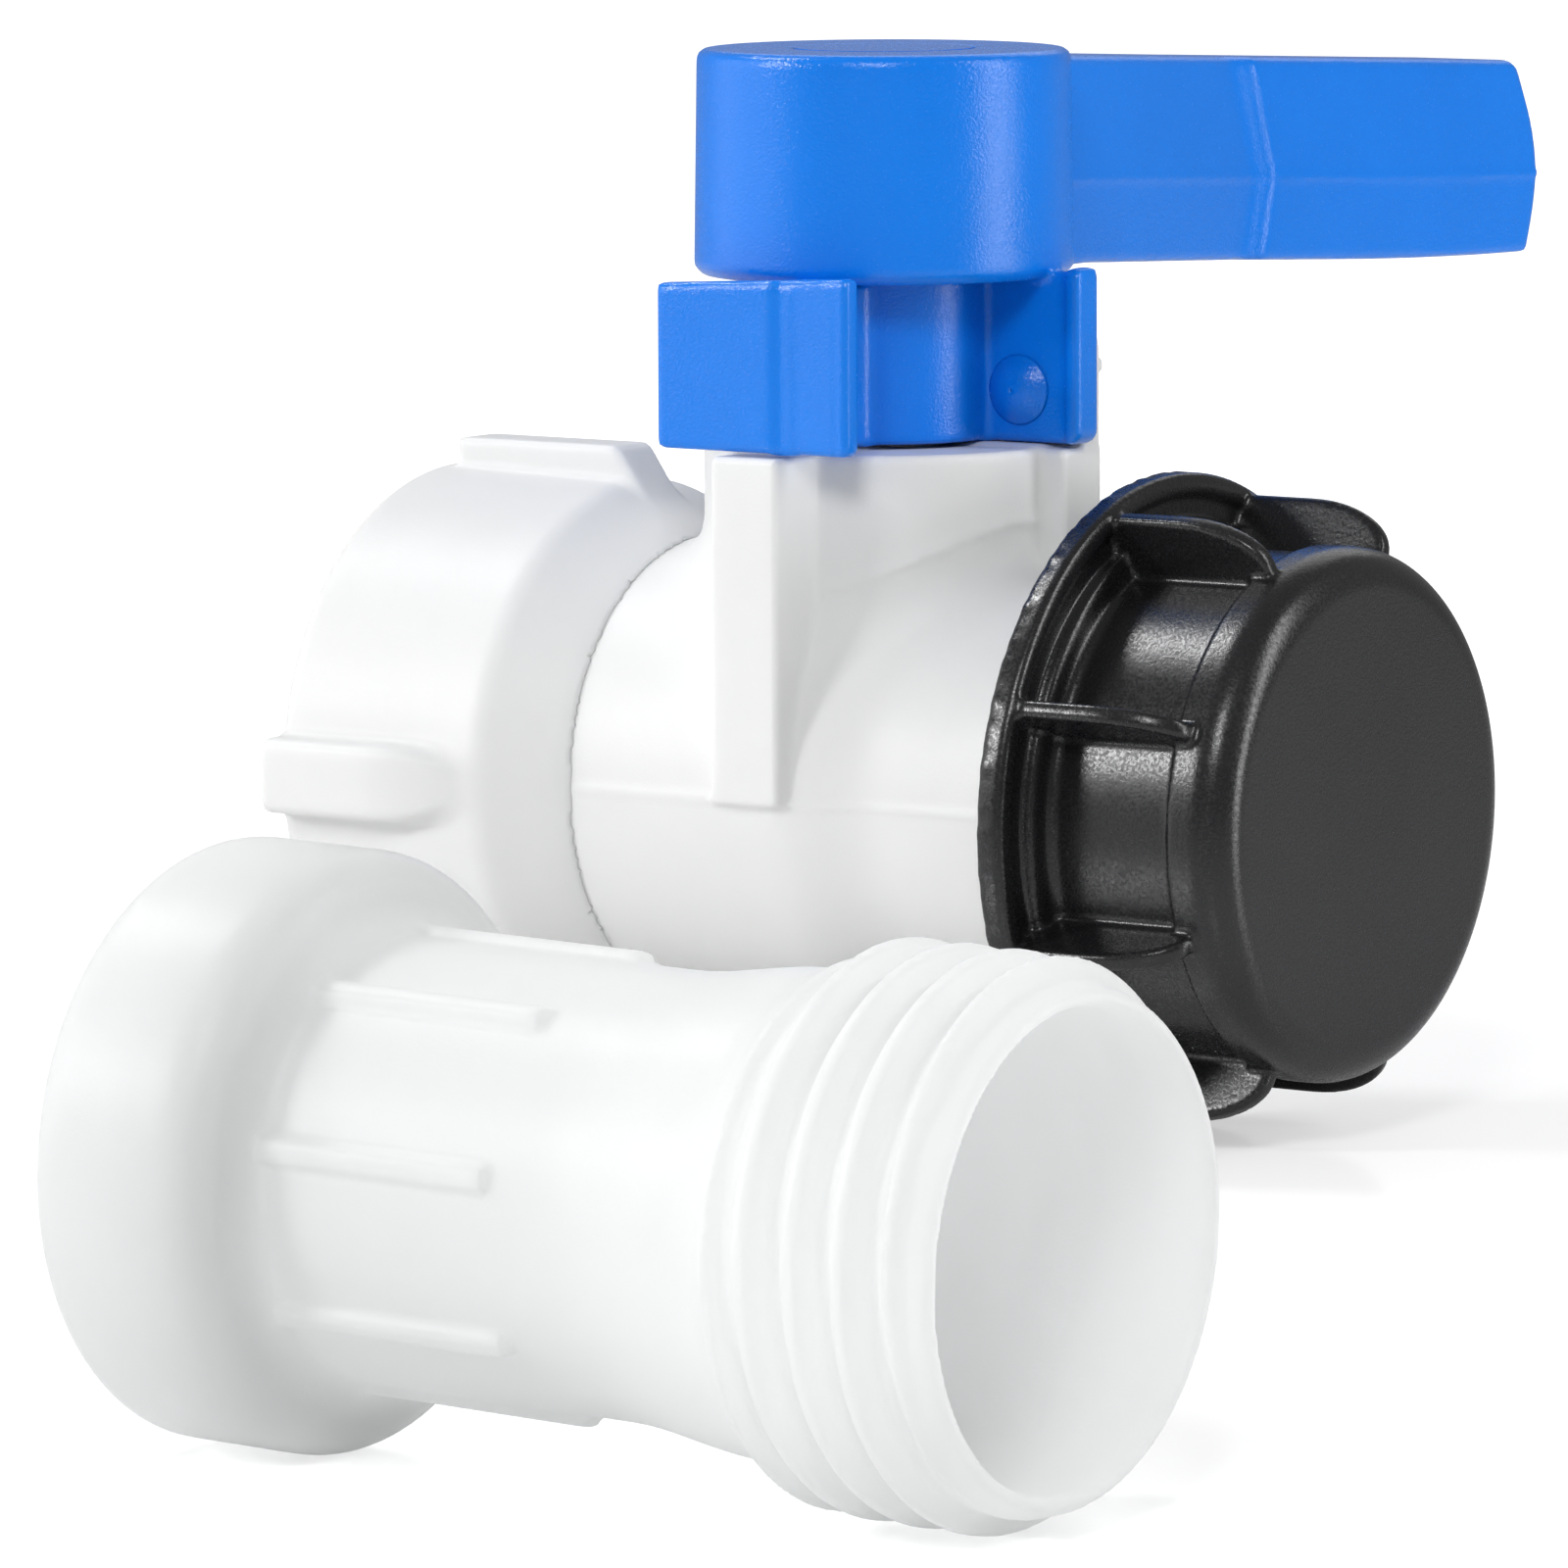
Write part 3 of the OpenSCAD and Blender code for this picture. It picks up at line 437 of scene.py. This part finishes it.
def make_nut_field():
    """The swivel nut: domed front, four lugs, inner thread, and the groove that turns on the collar."""
    rear_round = 2.4
    outer = Outline(
        [(-5, NUT_OPEN)] + arc(NUT_REAR_R - rear_round, NUT_OPEN + rear_round, rear_round, -90, 0)
        + [(NUT_R, NUT_SHOULDER)]
        + arc(NUT_R - NUT_SHOULDER_ROUND, NUT_SHOULDER + 0.6, NUT_SHOULDER_ROUND, 0, 36, 8)
        + [(32.0, NUT_FRONT - 0.8), (31.3, NUT_FRONT + 0.2), (30.6, NUT_FRONT + 1.4),
           (-5, NUT_FRONT + 1.4)])
    groove_r, lip_r = FEMALE_R + 1.05, CHAMBER_R - 0.14
    inner = Outline(
        [(-5, NUT_OPEN - 5), (FEMALE_R + 1.2, NUT_OPEN - 5), (FEMALE_R + 1.2, NUT_OPEN),
         (FEMALE_R, NUT_OPEN + 1.2), (FEMALE_R, -43.2), (groove_r, -43.2), (groove_r, NUT_FRONT - 6),
         (29.75, NUT_FRONT - 6), (29.75, NUT_FRONT - 2.6), (lip_r, NUT_FRONT - 0.2),
         (lip_r, NUT_FRONT + 5), (-5, NUT_FRONT + 5)])

    def lug(x, along, across, start, end, steep, soft, half, round_r):
        """A lug that stands out along one way, level up to its end, then sloped down onto the nut.

        steep is the slope's angle in radians, soft the rounding where it starts.
        """
        bar = common(plate(across, along, (-half, 30), (half, LUG_R), round_r), start - x, 0.5)
        slope = (x - end) * math.sin(steep) + (along - LUG_R) * math.cos(steep)
        bar = common(bar, slope, soft)
        return common(bar, x - NUT_FRONT + 3)

    def field(x, y, z):
        r = np.hypot(y, z)
        solid = outer(r, x)
        beside = lug(x, np.abs(y), z, NUT_OPEN + 0.2, NUT_SHOULDER - 6.0, 0.58, 4.0, 5.0, 1.6)
        above = lug(x, np.abs(z), y, NUT_OPEN + 4.2, NUT_SHOULDER + 1.2, 0.96, 1.0, 4.0, 0.5)
        solid = join(join(solid, beside, 1.2), above, 0.9)
        hollow = inner(r, x)
        angle = np.arctan2(z, y)
        crest = FEMALE_R - ridge(x, angle, NUT_OPEN + 22, 4, FEMALE_DEPTH)
        hollow = common(hollow, np.where(x < -44, SCREW_SLOPE * (r - crest), -9.0))
        return less(solid, hollow)

    return field


# The black dust cap

def make_cap_field():
    """The dust cap: flange with a raised ring, skirt with eight ribs, and a rounded face."""
    rim_r = CAP_R + 1.2
    rim_back = CAP_FACE - 8.6
    flange_front = CAP_BACK + CAP_FLANGE
    outer = Outline(
        [(-5, CAP_BACK), (STAND - 0.4, CAP_BACK), (STAND, CAP_BACK + 0.4), (STAND, flange_front - 0.6),
         (STAND - 0.6, flange_front), (STAND - 2.6, flange_front), (STAND - 3.2, flange_front - 0.8),
         (CAP_R + 3.6, flange_front - 0.8), (CAP_R + 3.4, flange_front + 0.7)]
        + arc(CAP_R + 1.6, flange_front + 2.6, 1.6, 280, 180, 6)
        + [(CAP_R, rim_back), (rim_r, rim_back)]
        + arc(rim_r - CAP_FACE_ROUND, CAP_FACE - CAP_FACE_ROUND, CAP_FACE_ROUND, 0, 90, 16)
        + [(-5, CAP_FACE)])
    inner = Outline(
        [(-5, CAP_BACK - 5), (FEMALE_R + 0.9, CAP_BACK - 5), (FEMALE_R + 0.9, CAP_BACK),
         (FEMALE_R, CAP_BACK + 0.9), (FEMALE_R, CAP_ROOF), (-5, CAP_ROOF)])
    top = STAND - 0.9
    low = rim_r + 0.7
    level_to, front = CAP_FACE - 18, CAP_FACE - 5.8
    rib = Outline(
        [(CAP_R - 2, CAP_BACK + 1), (top, CAP_BACK + 1), (top, level_to)]
        + [(low + (top - low) * math.cos(a), level_to + (front - level_to) * math.sin(a))
           for a in np.radians(np.linspace(8, 82, 12))]
        + [(low, front), (CAP_R - 2, front)])

    def field(x, y, z):
        r = np.hypot(y, z)
        angle = np.arctan2(z, y)
        ragged = 0.06 * np.sin(61 * angle + 1.0) + 0.05 * np.sin(97 * angle + 2.2)
        ragged = ragged + 0.04 * np.sin(23 * angle)
        edge = 1 - step(x, CAP_BACK + 0.6, CAP_BACK + 2.6)
        solid = outer(r + ragged * edge * step(r, STAND - 3, STAND - 1), x)
        turn = (angle + math.pi / 4) % (math.pi / 4) - math.pi / 8
        along, across = r * np.cos(turn), r * np.sin(turn)
        ribs = common(rib(along, x), np.abs(across) - 1.2, 0.5)
        solid = join(solid, ribs, 0.6)
        return less(solid, inner(r, x))

    return field


# The blue lever

def arm_half(y, above):
    """Half width of the arm at a height above its parting line: a taper, then a step out to the grip."""
    crease = CREASE - np.where(above > 0, 0.30, -0.25) * above
    root = 7.3 + 0.11 * np.maximum(crease - y, 0)
    grip = 8.75 + 0.75 * np.clip((y - crease) / (LEVER_REACH - crease), 0, 1)
    groove = 0.18 * (1 - step(np.abs(y - crease), 0.2, 0.8))
    return root + (grip - root) * step(y, crease - 4.5, crease + 1.5) - groove


def make_lever_field():
    """The lever: hub, hollow arm, centre tube, stop wing and shield wing."""
    slope = math.tan(math.radians(2.7))
    top0 = HUB_TOP - 0.6
    round_top = 1.4
    hub = Outline(
        [(-5, HUB_TOP)] + arc(HUB_R - round_top, HUB_TOP - round_top, round_top, 90, 0, 8)
        + [(HUB_R + 0.4, HUB_BOTTOM + 1.2), (HUB_R - 0.8, HUB_BOTTOM), (-5, HUB_BOTTOM)])
    hollow = Outline(
        [(TUBE_R - 0.4, HUB_BOTTOM - 8), (TUBE_R - 0.4, HUB_TOP - 4), (HUB_R - 3, HUB_TOP - 4),
         (HUB_R - 2.6, HUB_BOTTOM - 8)])
    tube_in = Outline(
        [(9.9, LEVER_BOTTOM - 5), (11.9, LEVER_BOTTOM - 5), (11.9, HUB_BOTTOM - 5), (9.9, HUB_BOTTOM - 5)])

    def lines(y):
        """Top, bottom and parting line of the arm at a distance from the stem."""
        top = top0 - y * slope
        bottom = HUB_BOTTOM + 0.1 - 0.052 * np.maximum(y - 30, 0) + 0.00045 * np.maximum(y - 100, 0) ** 2
        return top, bottom, (top + bottom) / 2 - 2.4

    def arm(x, y, z, inset, open_below):
        top, bottom, parting = lines(y)
        above = z - parting
        draft = np.where(above > 0, 0.039, -0.017) * above
        seam = 0.26 * (1 - step(np.abs(above), 0.1, 0.6)) if inset == 0 else 0
        sides = np.abs(x) - arm_half(y, above) + draft + inset - seam
        height = z - top + inset
        t = np.clip((z - bottom) / (top - bottom), 0, 1)
        tip = LEVER_REACH - 1.2 - 3.6 + 2.4 * (1 - t) + 3.6 * np.sin(math.pi * t) - inset
        solid = common(sides, height, 1.6 if inset == 0 else 0.5)
        solid = common(solid, y - tip, 1.2 if inset == 0 else 0.3)
        below = bottom - z - (20 if open_below else 0)
        return common(common(solid, below, 0.5 if inset == 0 else 0), 6 - y)

    def field(x, y, z):
        out = np.hypot(x, y)
        solid = join(hub(out, z), arm(x, y, z, 0, False), 0.9)
        inside = np.minimum(hollow(out, z), common(arm(x, y, z, ARM_WALL, True), HUB_R - 3.2 - out))
        spokes = np.abs(((np.arctan2(y, x) + math.pi) % (math.pi / 3)) - math.pi / 6) * out - 1.0
        solid = less(solid, inside, 0.4)
        webs = common(common(arm(x, y, z, 0.3, False), (np.abs((y - 36) % 20 - 10) - 0.9)), 40 - y)
        webs = common(webs, y - (LEVER_REACH - 8))
        solid = np.minimum(solid, webs)
        arms = common(common(spokes, out - HUB_R + 1.5), TUBE_R - 1 - out)
        arms = common(arms, np.maximum(HUB_BOTTOM + 3 - z, z - HUB_TOP + 2))
        solid = np.minimum(solid, arms)
        tube = common(common(out - TUBE_R, LEVER_BOTTOM - z, 0.4), z - HUB_TOP + 2)
        solid = join(solid, tube, 0.8)
        far = (WING_REACH, WING_Y, HUB_BOTTOM + 1)
        wing = box_field(x, y, z, (12, WING_Y - 3, LEVER_BOTTOM), far, 0.45)
        lip = box_field(x, y, z, (WING_REACH - 1.8, WING_Y - 4.1, LEVER_BOTTOM), far, 0.45)
        wing = join(wing, lip, 2.2)
        corner = common(x - WING_REACH, LEVER_BOTTOM - z, 1.8)
        wing = common(wing, corner)
        solid = join(solid, wing, 0.9)
        # The shield's face has a shallow dent, a fine line and a ledge that rises under the hub
        dent = 0.7 * step(x, 3.2, 5.0) * (1 - np.clip((x - 5) / 10, 0, 1)) - 0.1 * step(x, 12, 15)
        line = 0.22 * (1 - step(np.abs(x - 13.9), 0.15, 0.6))
        ledge = HUB_BOTTOM + 0.1 + 0.05 * np.clip(x - SHIELD_LEFT, 0, 31)
        shield = plate(x, y, (SHIELD_LEFT, SHIELD_Y), (SHIELD_RIGHT, SHIELD_Y + 3), 0.55)
        shield = common(shield, SHIELD_Y + dent + line - y, 0.35)
        shield = common(shield, z - ledge, 0.4)
        shield = common(shield, plate(x, z, (SHIELD_LEFT, LEVER_BOTTOM), (SHIELD_RIGHT, 80), 1.0), 0.3)
        web_end = (6.6, -TUBE_R + 2, HUB_BOTTOM - 0.3)
        web = box_field(x, y, z, (3.6, SHIELD_Y + 1, LEVER_BOTTOM), web_end, 0.3)
        solid = join(solid, join(shield, web, 1.0), 1.0)
        solid = np.maximum(solid, -tube_in(out, z))
        # Holes: the screw's well, the plug's seat, the stem's square socket, the screw's and the pin's bore
        well = np.maximum(out - 9.6, HUB_BOTTOM + 2 - z)
        seat = np.maximum(out - 11.55, HUB_TOP - 1.6 - z)
        socket = np.maximum(np.maximum(np.abs(x), np.abs(y)) - 6.05, z - (HUB_BOTTOM - 1))
        bore = out - 3.3
        pin = np.maximum(np.hypot(x - PIN_X, z - PIN_Z) - PIN_R - 0.08, y - 20)
        for hole in (well, seat, socket, bore, np.maximum(pin, -y)):
            solid = np.maximum(solid, -hole)
        return solid

    return field


# The loose extension pipe

def make_pipe_field():
    """The loose pipe: threaded socket, waist with low ribs, and outlet thread."""
    shoulder = -PIPE_LENGTH + 17.4
    corner = shoulder + 8
    waist_end = corner + WAIST_RUN
    run_out = -PIPE_FIRST_CREST - (CREST_COUNT - 0.5) * PITCH
    outer = Outline(
        [(-5, -PIPE_LENGTH)]
        + arc(SOCKET_R - SOCKET_BACK_ROUND, -PIPE_LENGTH + SOCKET_BACK_ROUND, SOCKET_BACK_ROUND, -90, 0)
        + arc(SOCKET_R - SOCKET_ROUND, shoulder, SOCKET_ROUND, 0, 80, 10)
        + [(WAIST_R + 1.3, corner - 1.2), (WAIST_R + 0.35, corner - 0.4), (WAIST_R, corner + 0.8)]
        + ease(WAIST_R, waist_end, 25.8, run_out - 5, 8)
        + [(ROOT_R - 0.3, run_out - 1), (ROOT_R, run_out + 2), (ROOT_R, -2), (ROOT_R - 0.4, -0.5),
           (ROOT_R - 1.0, 0), (-5, 0)])
    bore = WAIST_R - WAIST_WALL
    thread_end = -PIPE_LENGTH + 17
    socket_end = -PIPE_LENGTH + 20
    inner = Outline(
        [(-5, -PIPE_LENGTH - 5), (FEMALE_R + 0.9, -PIPE_LENGTH - 5), (FEMALE_R + 0.9, -PIPE_LENGTH),
         (FEMALE_R, -PIPE_LENGTH + 0.9), (FEMALE_R, thread_end), (FEMALE_R - 1, thread_end),
         (FEMALE_R - 1, socket_end), (bore, socket_end), (bore, waist_end)]
        + ease(bore, waist_end + 2, 24.6, run_out + 3, 10)
        + [(25.0, -1.4), (25.4, -0.5), (25.4, 5), (-5, 5)])
    rib_end = corner + PIPE_RIB_SHARE * WAIST_RUN
    rib_foot, rib_top = WAIST_R - 1.5, WAIST_R + PIPE_RIB_HEIGHT
    rib = Outline(
        [(rib_foot, rib_end), (rib_top, rib_end), (rib_top, corner - 1), (rib_foot, corner - 1)])

    def field(x, y, z):
        r = np.hypot(y, z)
        angle = np.arctan2(z, y)
        solid = outer(r, x)
        crest = ROOT_R + ridge(x, angle, -PIPE_FIRST_CREST, CREST_COUNT, THREAD_R - ROOT_R)
        screw = common(SCREW_SLOPE * (r - crest), np.abs(x + 15.5) - 13.6)
        solid = np.minimum(solid, screw)
        first_rib = math.radians(170)
        turn = (angle - first_rib + math.pi / 8) % (math.pi / 4) - math.pi / 8
        ribs = common(rib(r * np.cos(turn), x), np.abs(r * np.sin(turn)) - PIPE_RIB_HALF, 0.3)
        solid = join(solid, ribs, 0.4)
        hollow = inner(r, x)
        socket = FEMALE_R - ridge(x, angle, -PIPE_LENGTH + 15, 3, FEMALE_DEPTH)
        hollow = common(hollow, np.where(x < -PIPE_LENGTH + 18, SCREW_SLOPE * (r - socket), -9.0))
        return less(solid, hollow)

    return field


# Materials

def nodes_of(name):
    """A new material, its node tree and its main shader."""
    material = bpy.data.materials.new(name)
    material.use_nodes = True
    tree = material.node_tree
    return material, tree, tree.nodes["Principled BSDF"]


def noise(tree, scale, detail=2.0, roughness=0.5, stretch=(1, 1, 1)):
    """A noise texture fixed to the object, scale in waves per metre."""
    coords = tree.nodes.new("ShaderNodeTexCoord")
    mapping = tree.nodes.new("ShaderNodeMapping")
    mapping.inputs["Scale"].default_value = stretch
    texture = tree.nodes.new("ShaderNodeTexNoise")
    texture.inputs["Scale"].default_value = scale
    texture.inputs["Detail"].default_value = detail
    texture.inputs["Roughness"].default_value = roughness
    tree.links.new(coords.outputs["Object"], mapping.inputs["Vector"])
    tree.links.new(mapping.outputs["Vector"], texture.inputs["Vector"])
    return texture


def remap(tree, source, low, high, out_low, out_high):
    """The source's values from low to high, spread over out_low to out_high."""
    node = tree.nodes.new("ShaderNodeMapRange")
    node.inputs["From Min"].default_value = low
    node.inputs["From Max"].default_value = high
    node.inputs["To Min"].default_value = out_low
    node.inputs["To Max"].default_value = out_high
    tree.links.new(source, node.inputs["Value"])
    return node.outputs["Result"]


def bump(tree, height, distance, after=None):
    """A relief of that depth in metres, laid over the one before it, if any."""
    node = tree.nodes.new("ShaderNodeBump")
    node.inputs["Distance"].default_value = distance
    node.inputs["Strength"].default_value = 1.0
    tree.links.new(height, node.inputs["Height"])
    if after is not None:
        tree.links.new(after, node.inputs["Normal"])
    return node.outputs["Normal"]


def plastic(name, light, dark, rough, grain_scale, grain_depth, flow_depth=0.0, subsurface=0.0,
            scatter=0.003, specular=0.5, sparkle=0.05, through=0.0):
    """Moulded plastic: two close shades, uneven gloss, fine grain and a slow waviness from the mould.

    through is the share of light that a thin wall lets through.
    """
    material, tree, shader = nodes_of(name)
    cloud = noise(tree, 45, 2, 0.55)
    mix = tree.nodes.new("ShaderNodeMix")
    mix.data_type = "RGBA"
    mix.inputs["A"].default_value = (*dark, 1)
    mix.inputs["B"].default_value = (*light, 1)
    tree.links.new(remap(tree, cloud.outputs["Fac"], 0.3, 0.7, 0, 1), mix.inputs["Factor"])
    tree.links.new(mix.outputs["Result"], shader.inputs["Base Color"])
    grain = noise(tree, grain_scale, 2, 0.6)
    tree.links.new(remap(tree, grain.outputs["Fac"], 0.3, 0.7, rough - sparkle, rough + sparkle),
                   shader.inputs["Roughness"])
    normal = bump(tree, grain.outputs["Fac"], grain_depth)
    if flow_depth:
        flow = noise(tree, 60, 1, 0.5)
        normal = bump(tree, flow.outputs["Fac"], flow_depth, after=normal)
    tree.links.new(normal, shader.inputs["Normal"])
    shader.inputs["Specular IOR Level"].default_value = specular
    if subsurface:
        shader.inputs["Subsurface Weight"].default_value = subsurface
        shader.inputs["Subsurface Radius"].default_value = (1.0, 0.97, 0.94)
        shader.inputs["Subsurface Scale"].default_value = scatter
    if through:
        glow = tree.nodes.new("ShaderNodeBsdfTranslucent")
        glow.inputs["Color"].default_value = (0.98, 0.985, 0.985, 1)
        both = tree.nodes.new("ShaderNodeMixShader")
        both.inputs["Fac"].default_value = through
        tree.links.new(normal, glow.inputs["Normal"])
        tree.links.new(shader.outputs["BSDF"], both.inputs[1])
        tree.links.new(glow.outputs["BSDF"], both.inputs[2])
        tree.links.new(both.outputs["Shader"], tree.nodes["Material Output"].inputs["Surface"])
    return material


white = plastic("white_plastic", (0.80, 0.805, 0.80), (0.78, 0.785, 0.78), 0.42, 2600, 0.00002, 0.00008,
                subsurface=0.3, scatter=0.003, specular=0.2)
milky = plastic("milky_plastic", (0.95, 0.955, 0.955), (0.93, 0.935, 0.935), 0.36, 2200, 0.00002, 0.00010,
                subsurface=0.2, scatter=0.003, specular=0.25, through=0.55)
blue = plastic("blue_plastic", (0.002, 0.195, 0.79), (0.002, 0.183, 0.75), 0.2, 2600, 0.00008, 0.00004,
               specular=0.4, sparkle=0.08)
black = plastic("black_plastic", (0.012, 0.012, 0.013), (0.009, 0.009, 0.010), 0.27, 2400, 0.00003, 0.00002,
                specular=0.45, sparkle=0.1)
rubber = plastic("seal_rubber", (0.028, 0.028, 0.03), (0.018, 0.018, 0.02), 0.7, 1800, 0.0001)
ptfe = plastic("seat_plastic", (0.88, 0.88, 0.86), (0.84, 0.84, 0.82), 0.32, 2600, 0.00004, subsurface=0.3)


def steel_material():
    """Turned steel with fine marks round its axis."""
    material, tree, shader = nodes_of("turned_steel")
    shader.inputs["Metallic"].default_value = 1.0
    shader.inputs["Base Color"].default_value = (0.62, 0.62, 0.63, 1)
    marks = noise(tree, 900, 4, 0.6, (1, 1, 12))
    tree.links.new(remap(tree, marks.outputs["Fac"], 0.3, 0.7, 0.22, 0.4), shader.inputs["Roughness"])
    tree.links.new(bump(tree, marks.outputs["Fac"], 0.00002), shader.inputs["Normal"])
    return material


steel = steel_material()

BY_SLOT = {"white_body": white, "milky_plastic": milky, "blue_plastic": blue, "black_plastic": black,
           "seat_plastic": ptfe, "seal_rubber": rubber, "steel": steel}
slots = {entry["node"]: entry["material_slot"] for entry in frame["record"]["subparts"]}


def dress(piece, slot):
    piece.data.materials.clear()
    piece.data.materials.append(BY_SLOT[slot])


for node, part in frame["nodes"].items():
    dress(part, slots[node])


def stand_for(piece, node, body):
    """The piece takes the node's place, finish and body."""
    dress(piece, slots[node])
    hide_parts(node)
    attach(piece, body)
    return piece


stand_for(surface("body_shell", make_body_field(), (-41, -33, -31), (71, 33, 61), 0.55, 0.28, TAP),
          "valve_body", "valve")
stand_for(surface("nut_shell", make_nut_field(), (-72, -43, -43), (-27.5, 43, 43), 0.5, 0.26, TAP),
          "inlet_nut", "swivel_nut")
stand_for(surface("cap_shell", make_cap_field(), (42, -43, -43), (75.5, 43, 43), 0.4, 0.28, TAP),
          "dust_cap", "dust_cap")
stand_for(surface("lever_shell", make_lever_field(), (-26, -33, 44), (31, 150, 97), 0.5, 0.32, TAP),
          "lever", "lever_and_ball")
stand_for(surface("pipe_shell", make_pipe_field(), (-113, -34, -34), (1, 34, 34), 0.6, 0.38, pipe_place()),
          "extension_pipe", "loose_pipe")


def pin_profile():
    """The lock pin from the crown of its head to its nose: (radius, place along +Y)."""
    head = 4.6
    face = WING_Y - 3 - 0.02
    crown = face - 2
    dome_r = (head ** 2 + 4) / 4
    radii = [head * t for t in np.linspace(0.02, 0.93, 9)]
    dome = [(r, crown + dome_r - math.sqrt(dome_r ** 2 - r ** 2)) for r in radii]
    return dome + [(head - 0.05, face - 0.18), (head - 0.2, face), (PIN_R, face), (PIN_R, 5.5),
                   (PIN_R - 0.6, 6.5), (0.02, 6.5)]


PIN = TAP @ Matrix.Translation((PIN_X / 1000, 0, PIN_Z / 1000)) @ Matrix.Rotation(math.radians(90), 4, "Z")
stand_for(lathe("pin_turned", pin_profile(), PIN, 96), "lock_pin", "lock_pin")


# Floor, light and camera

def floor():
    """A white, slightly reflecting board. Its own glow is for the camera only and grows with distance."""
    reach = 6.0
    mesh = bpy.data.meshes.new("floor")
    corners = [(x * reach, y * reach, FLOOR_Z) for x, y in ((-1, -1), (1, -1), (1, 1), (-1, 1))]
    mesh.from_pydata(corners, [], [(0, 1, 2, 3)])
    plane = bpy.data.objects.new("floor", mesh)
    bpy.context.scene.collection.objects.link(plane)
    material, tree, shader = nodes_of("floor_board")
    shader.inputs["Base Color"].default_value = (0.9, 0.9, 0.9, 1)
    shader.inputs["Roughness"].default_value = 0.12
    shader.inputs["Specular IOR Level"].default_value = 0.3
    path = tree.nodes.new("ShaderNodeLightPath")
    place = tree.nodes.new("ShaderNodeNewGeometry")
    away = tree.nodes.new("ShaderNodeVectorMath")
    away.operation = "DISTANCE"
    away.inputs[1].default_value = (0.13, -0.1, FLOOR_Z)
    tree.links.new(place.outputs["Position"], away.inputs[0])
    lift = tree.nodes.new("ShaderNodeMath")
    lift.operation = "MULTIPLY"
    tree.links.new(remap(tree, away.outputs["Value"], 0.2, 0.9, 0.47, 0.9), lift.inputs[1])
    tree.links.new(path.outputs["Is Camera Ray"], lift.inputs[0])
    shader.inputs["Emission Color"].default_value = (1, 1, 1, 1)
    tree.links.new(lift.outputs["Value"], shader.inputs["Emission Strength"])
    mesh.materials.append(material)


def sky(strength):
    """A background that is white to the camera and lights the objects with that strength."""
    world = bpy.data.worlds.new("studio")
    bpy.context.scene.world = world
    world.use_nodes = True
    tree = world.node_tree
    back = tree.nodes["Background"]
    back.inputs["Color"].default_value = (1, 1, 1, 1)
    path = tree.nodes.new("ShaderNodeLightPath")
    pick = tree.nodes.new("ShaderNodeMapRange")
    pick.inputs["To Min"].default_value = strength
    pick.inputs["To Max"].default_value = 1.0
    tree.links.new(path.outputs["Is Camera Ray"], pick.inputs["Value"])
    tree.links.new(pick.outputs["Result"], back.inputs["Strength"])


LOOK_AT = Vector((0.10, -0.06, 0.0))


def lamp(name, azimuth, elevation, distance, wide, high, power):
    """A soft box at that compass angle round the object, 0 in front along -Y and 90 at +X."""
    data = bpy.data.lights.new(name, "AREA")
    data.shape = "RECTANGLE"
    data.size = wide
    data.size_y = high
    data.energy = power
    box = bpy.data.objects.new(name, data)
    a, e = math.radians(azimuth), math.radians(elevation)
    way = Vector((math.sin(a) * math.cos(e), -math.cos(a) * math.cos(e), math.sin(e)))
    box.location = LOOK_AT + way * distance
    box.rotation_euler = way.to_track_quat("Z", "Y").to_euler()
    bpy.context.scene.collection.objects.link(box)


floor()
sky(0.24)
lamp("key_left", -38, 22, 1.6, 0.26, 0.26, 8.5)
lamp("key_high", -84, 54, 1.6, 0.26, 0.26, 7)
lamp("box_left", -62, 6, 1.8, 1.9, 1.5, 11)
lamp("front", 28, 36, 1.5, 0.35, 0.35, 7.5)
lamp("strip_right", 112, 20, 0.8, 0.17, 0.8, 3.8)
lamp("back_fill", 205, 38, 1.8, 1.2, 1.0, 4)

CAMERA_AZIMUTH = 35.33
CAMERA_ELEVATION = 6.71
CAMERA_ROLL = -0.21
CAMERA_FROM_BALL = (773.0, -1113.5, 158.9)
FOCAL_IN_WIDTHS = 6.6567


def camera():
    """The camera that was fitted to the photograph's outlines."""
    data = bpy.data.cameras.new("camera")
    data.sensor_width = 36
    data.lens = 36 * FOCAL_IN_WIDTHS
    data.clip_end = 50
    view = bpy.data.objects.new("camera", data)
    a, e, roll = (math.radians(v) for v in (CAMERA_AZIMUTH, CAMERA_ELEVATION, CAMERA_ROLL))
    back = Vector((math.sin(a) * math.cos(e), -math.cos(a) * math.cos(e), math.sin(e)))
    right = Vector((math.cos(a), math.sin(a), 0))
    up = back.cross(right)
    turned_right = right * math.cos(roll) + up * math.sin(roll)
    turned_up = up * math.cos(roll) - right * math.sin(roll)
    place = (Vector(CAMERA_FROM_BALL) + Vector((BALL_X, 0, 0))) / 1000
    turn = Matrix((turned_right, turned_up, back)).transposed().to_4x4()
    view.matrix_world = Matrix.Translation(place) @ turn
    bpy.context.scene.collection.objects.link(view)
    bpy.context.scene.camera = view


camera()
bpy.context.scene.view_settings.view_transform = "Standard"
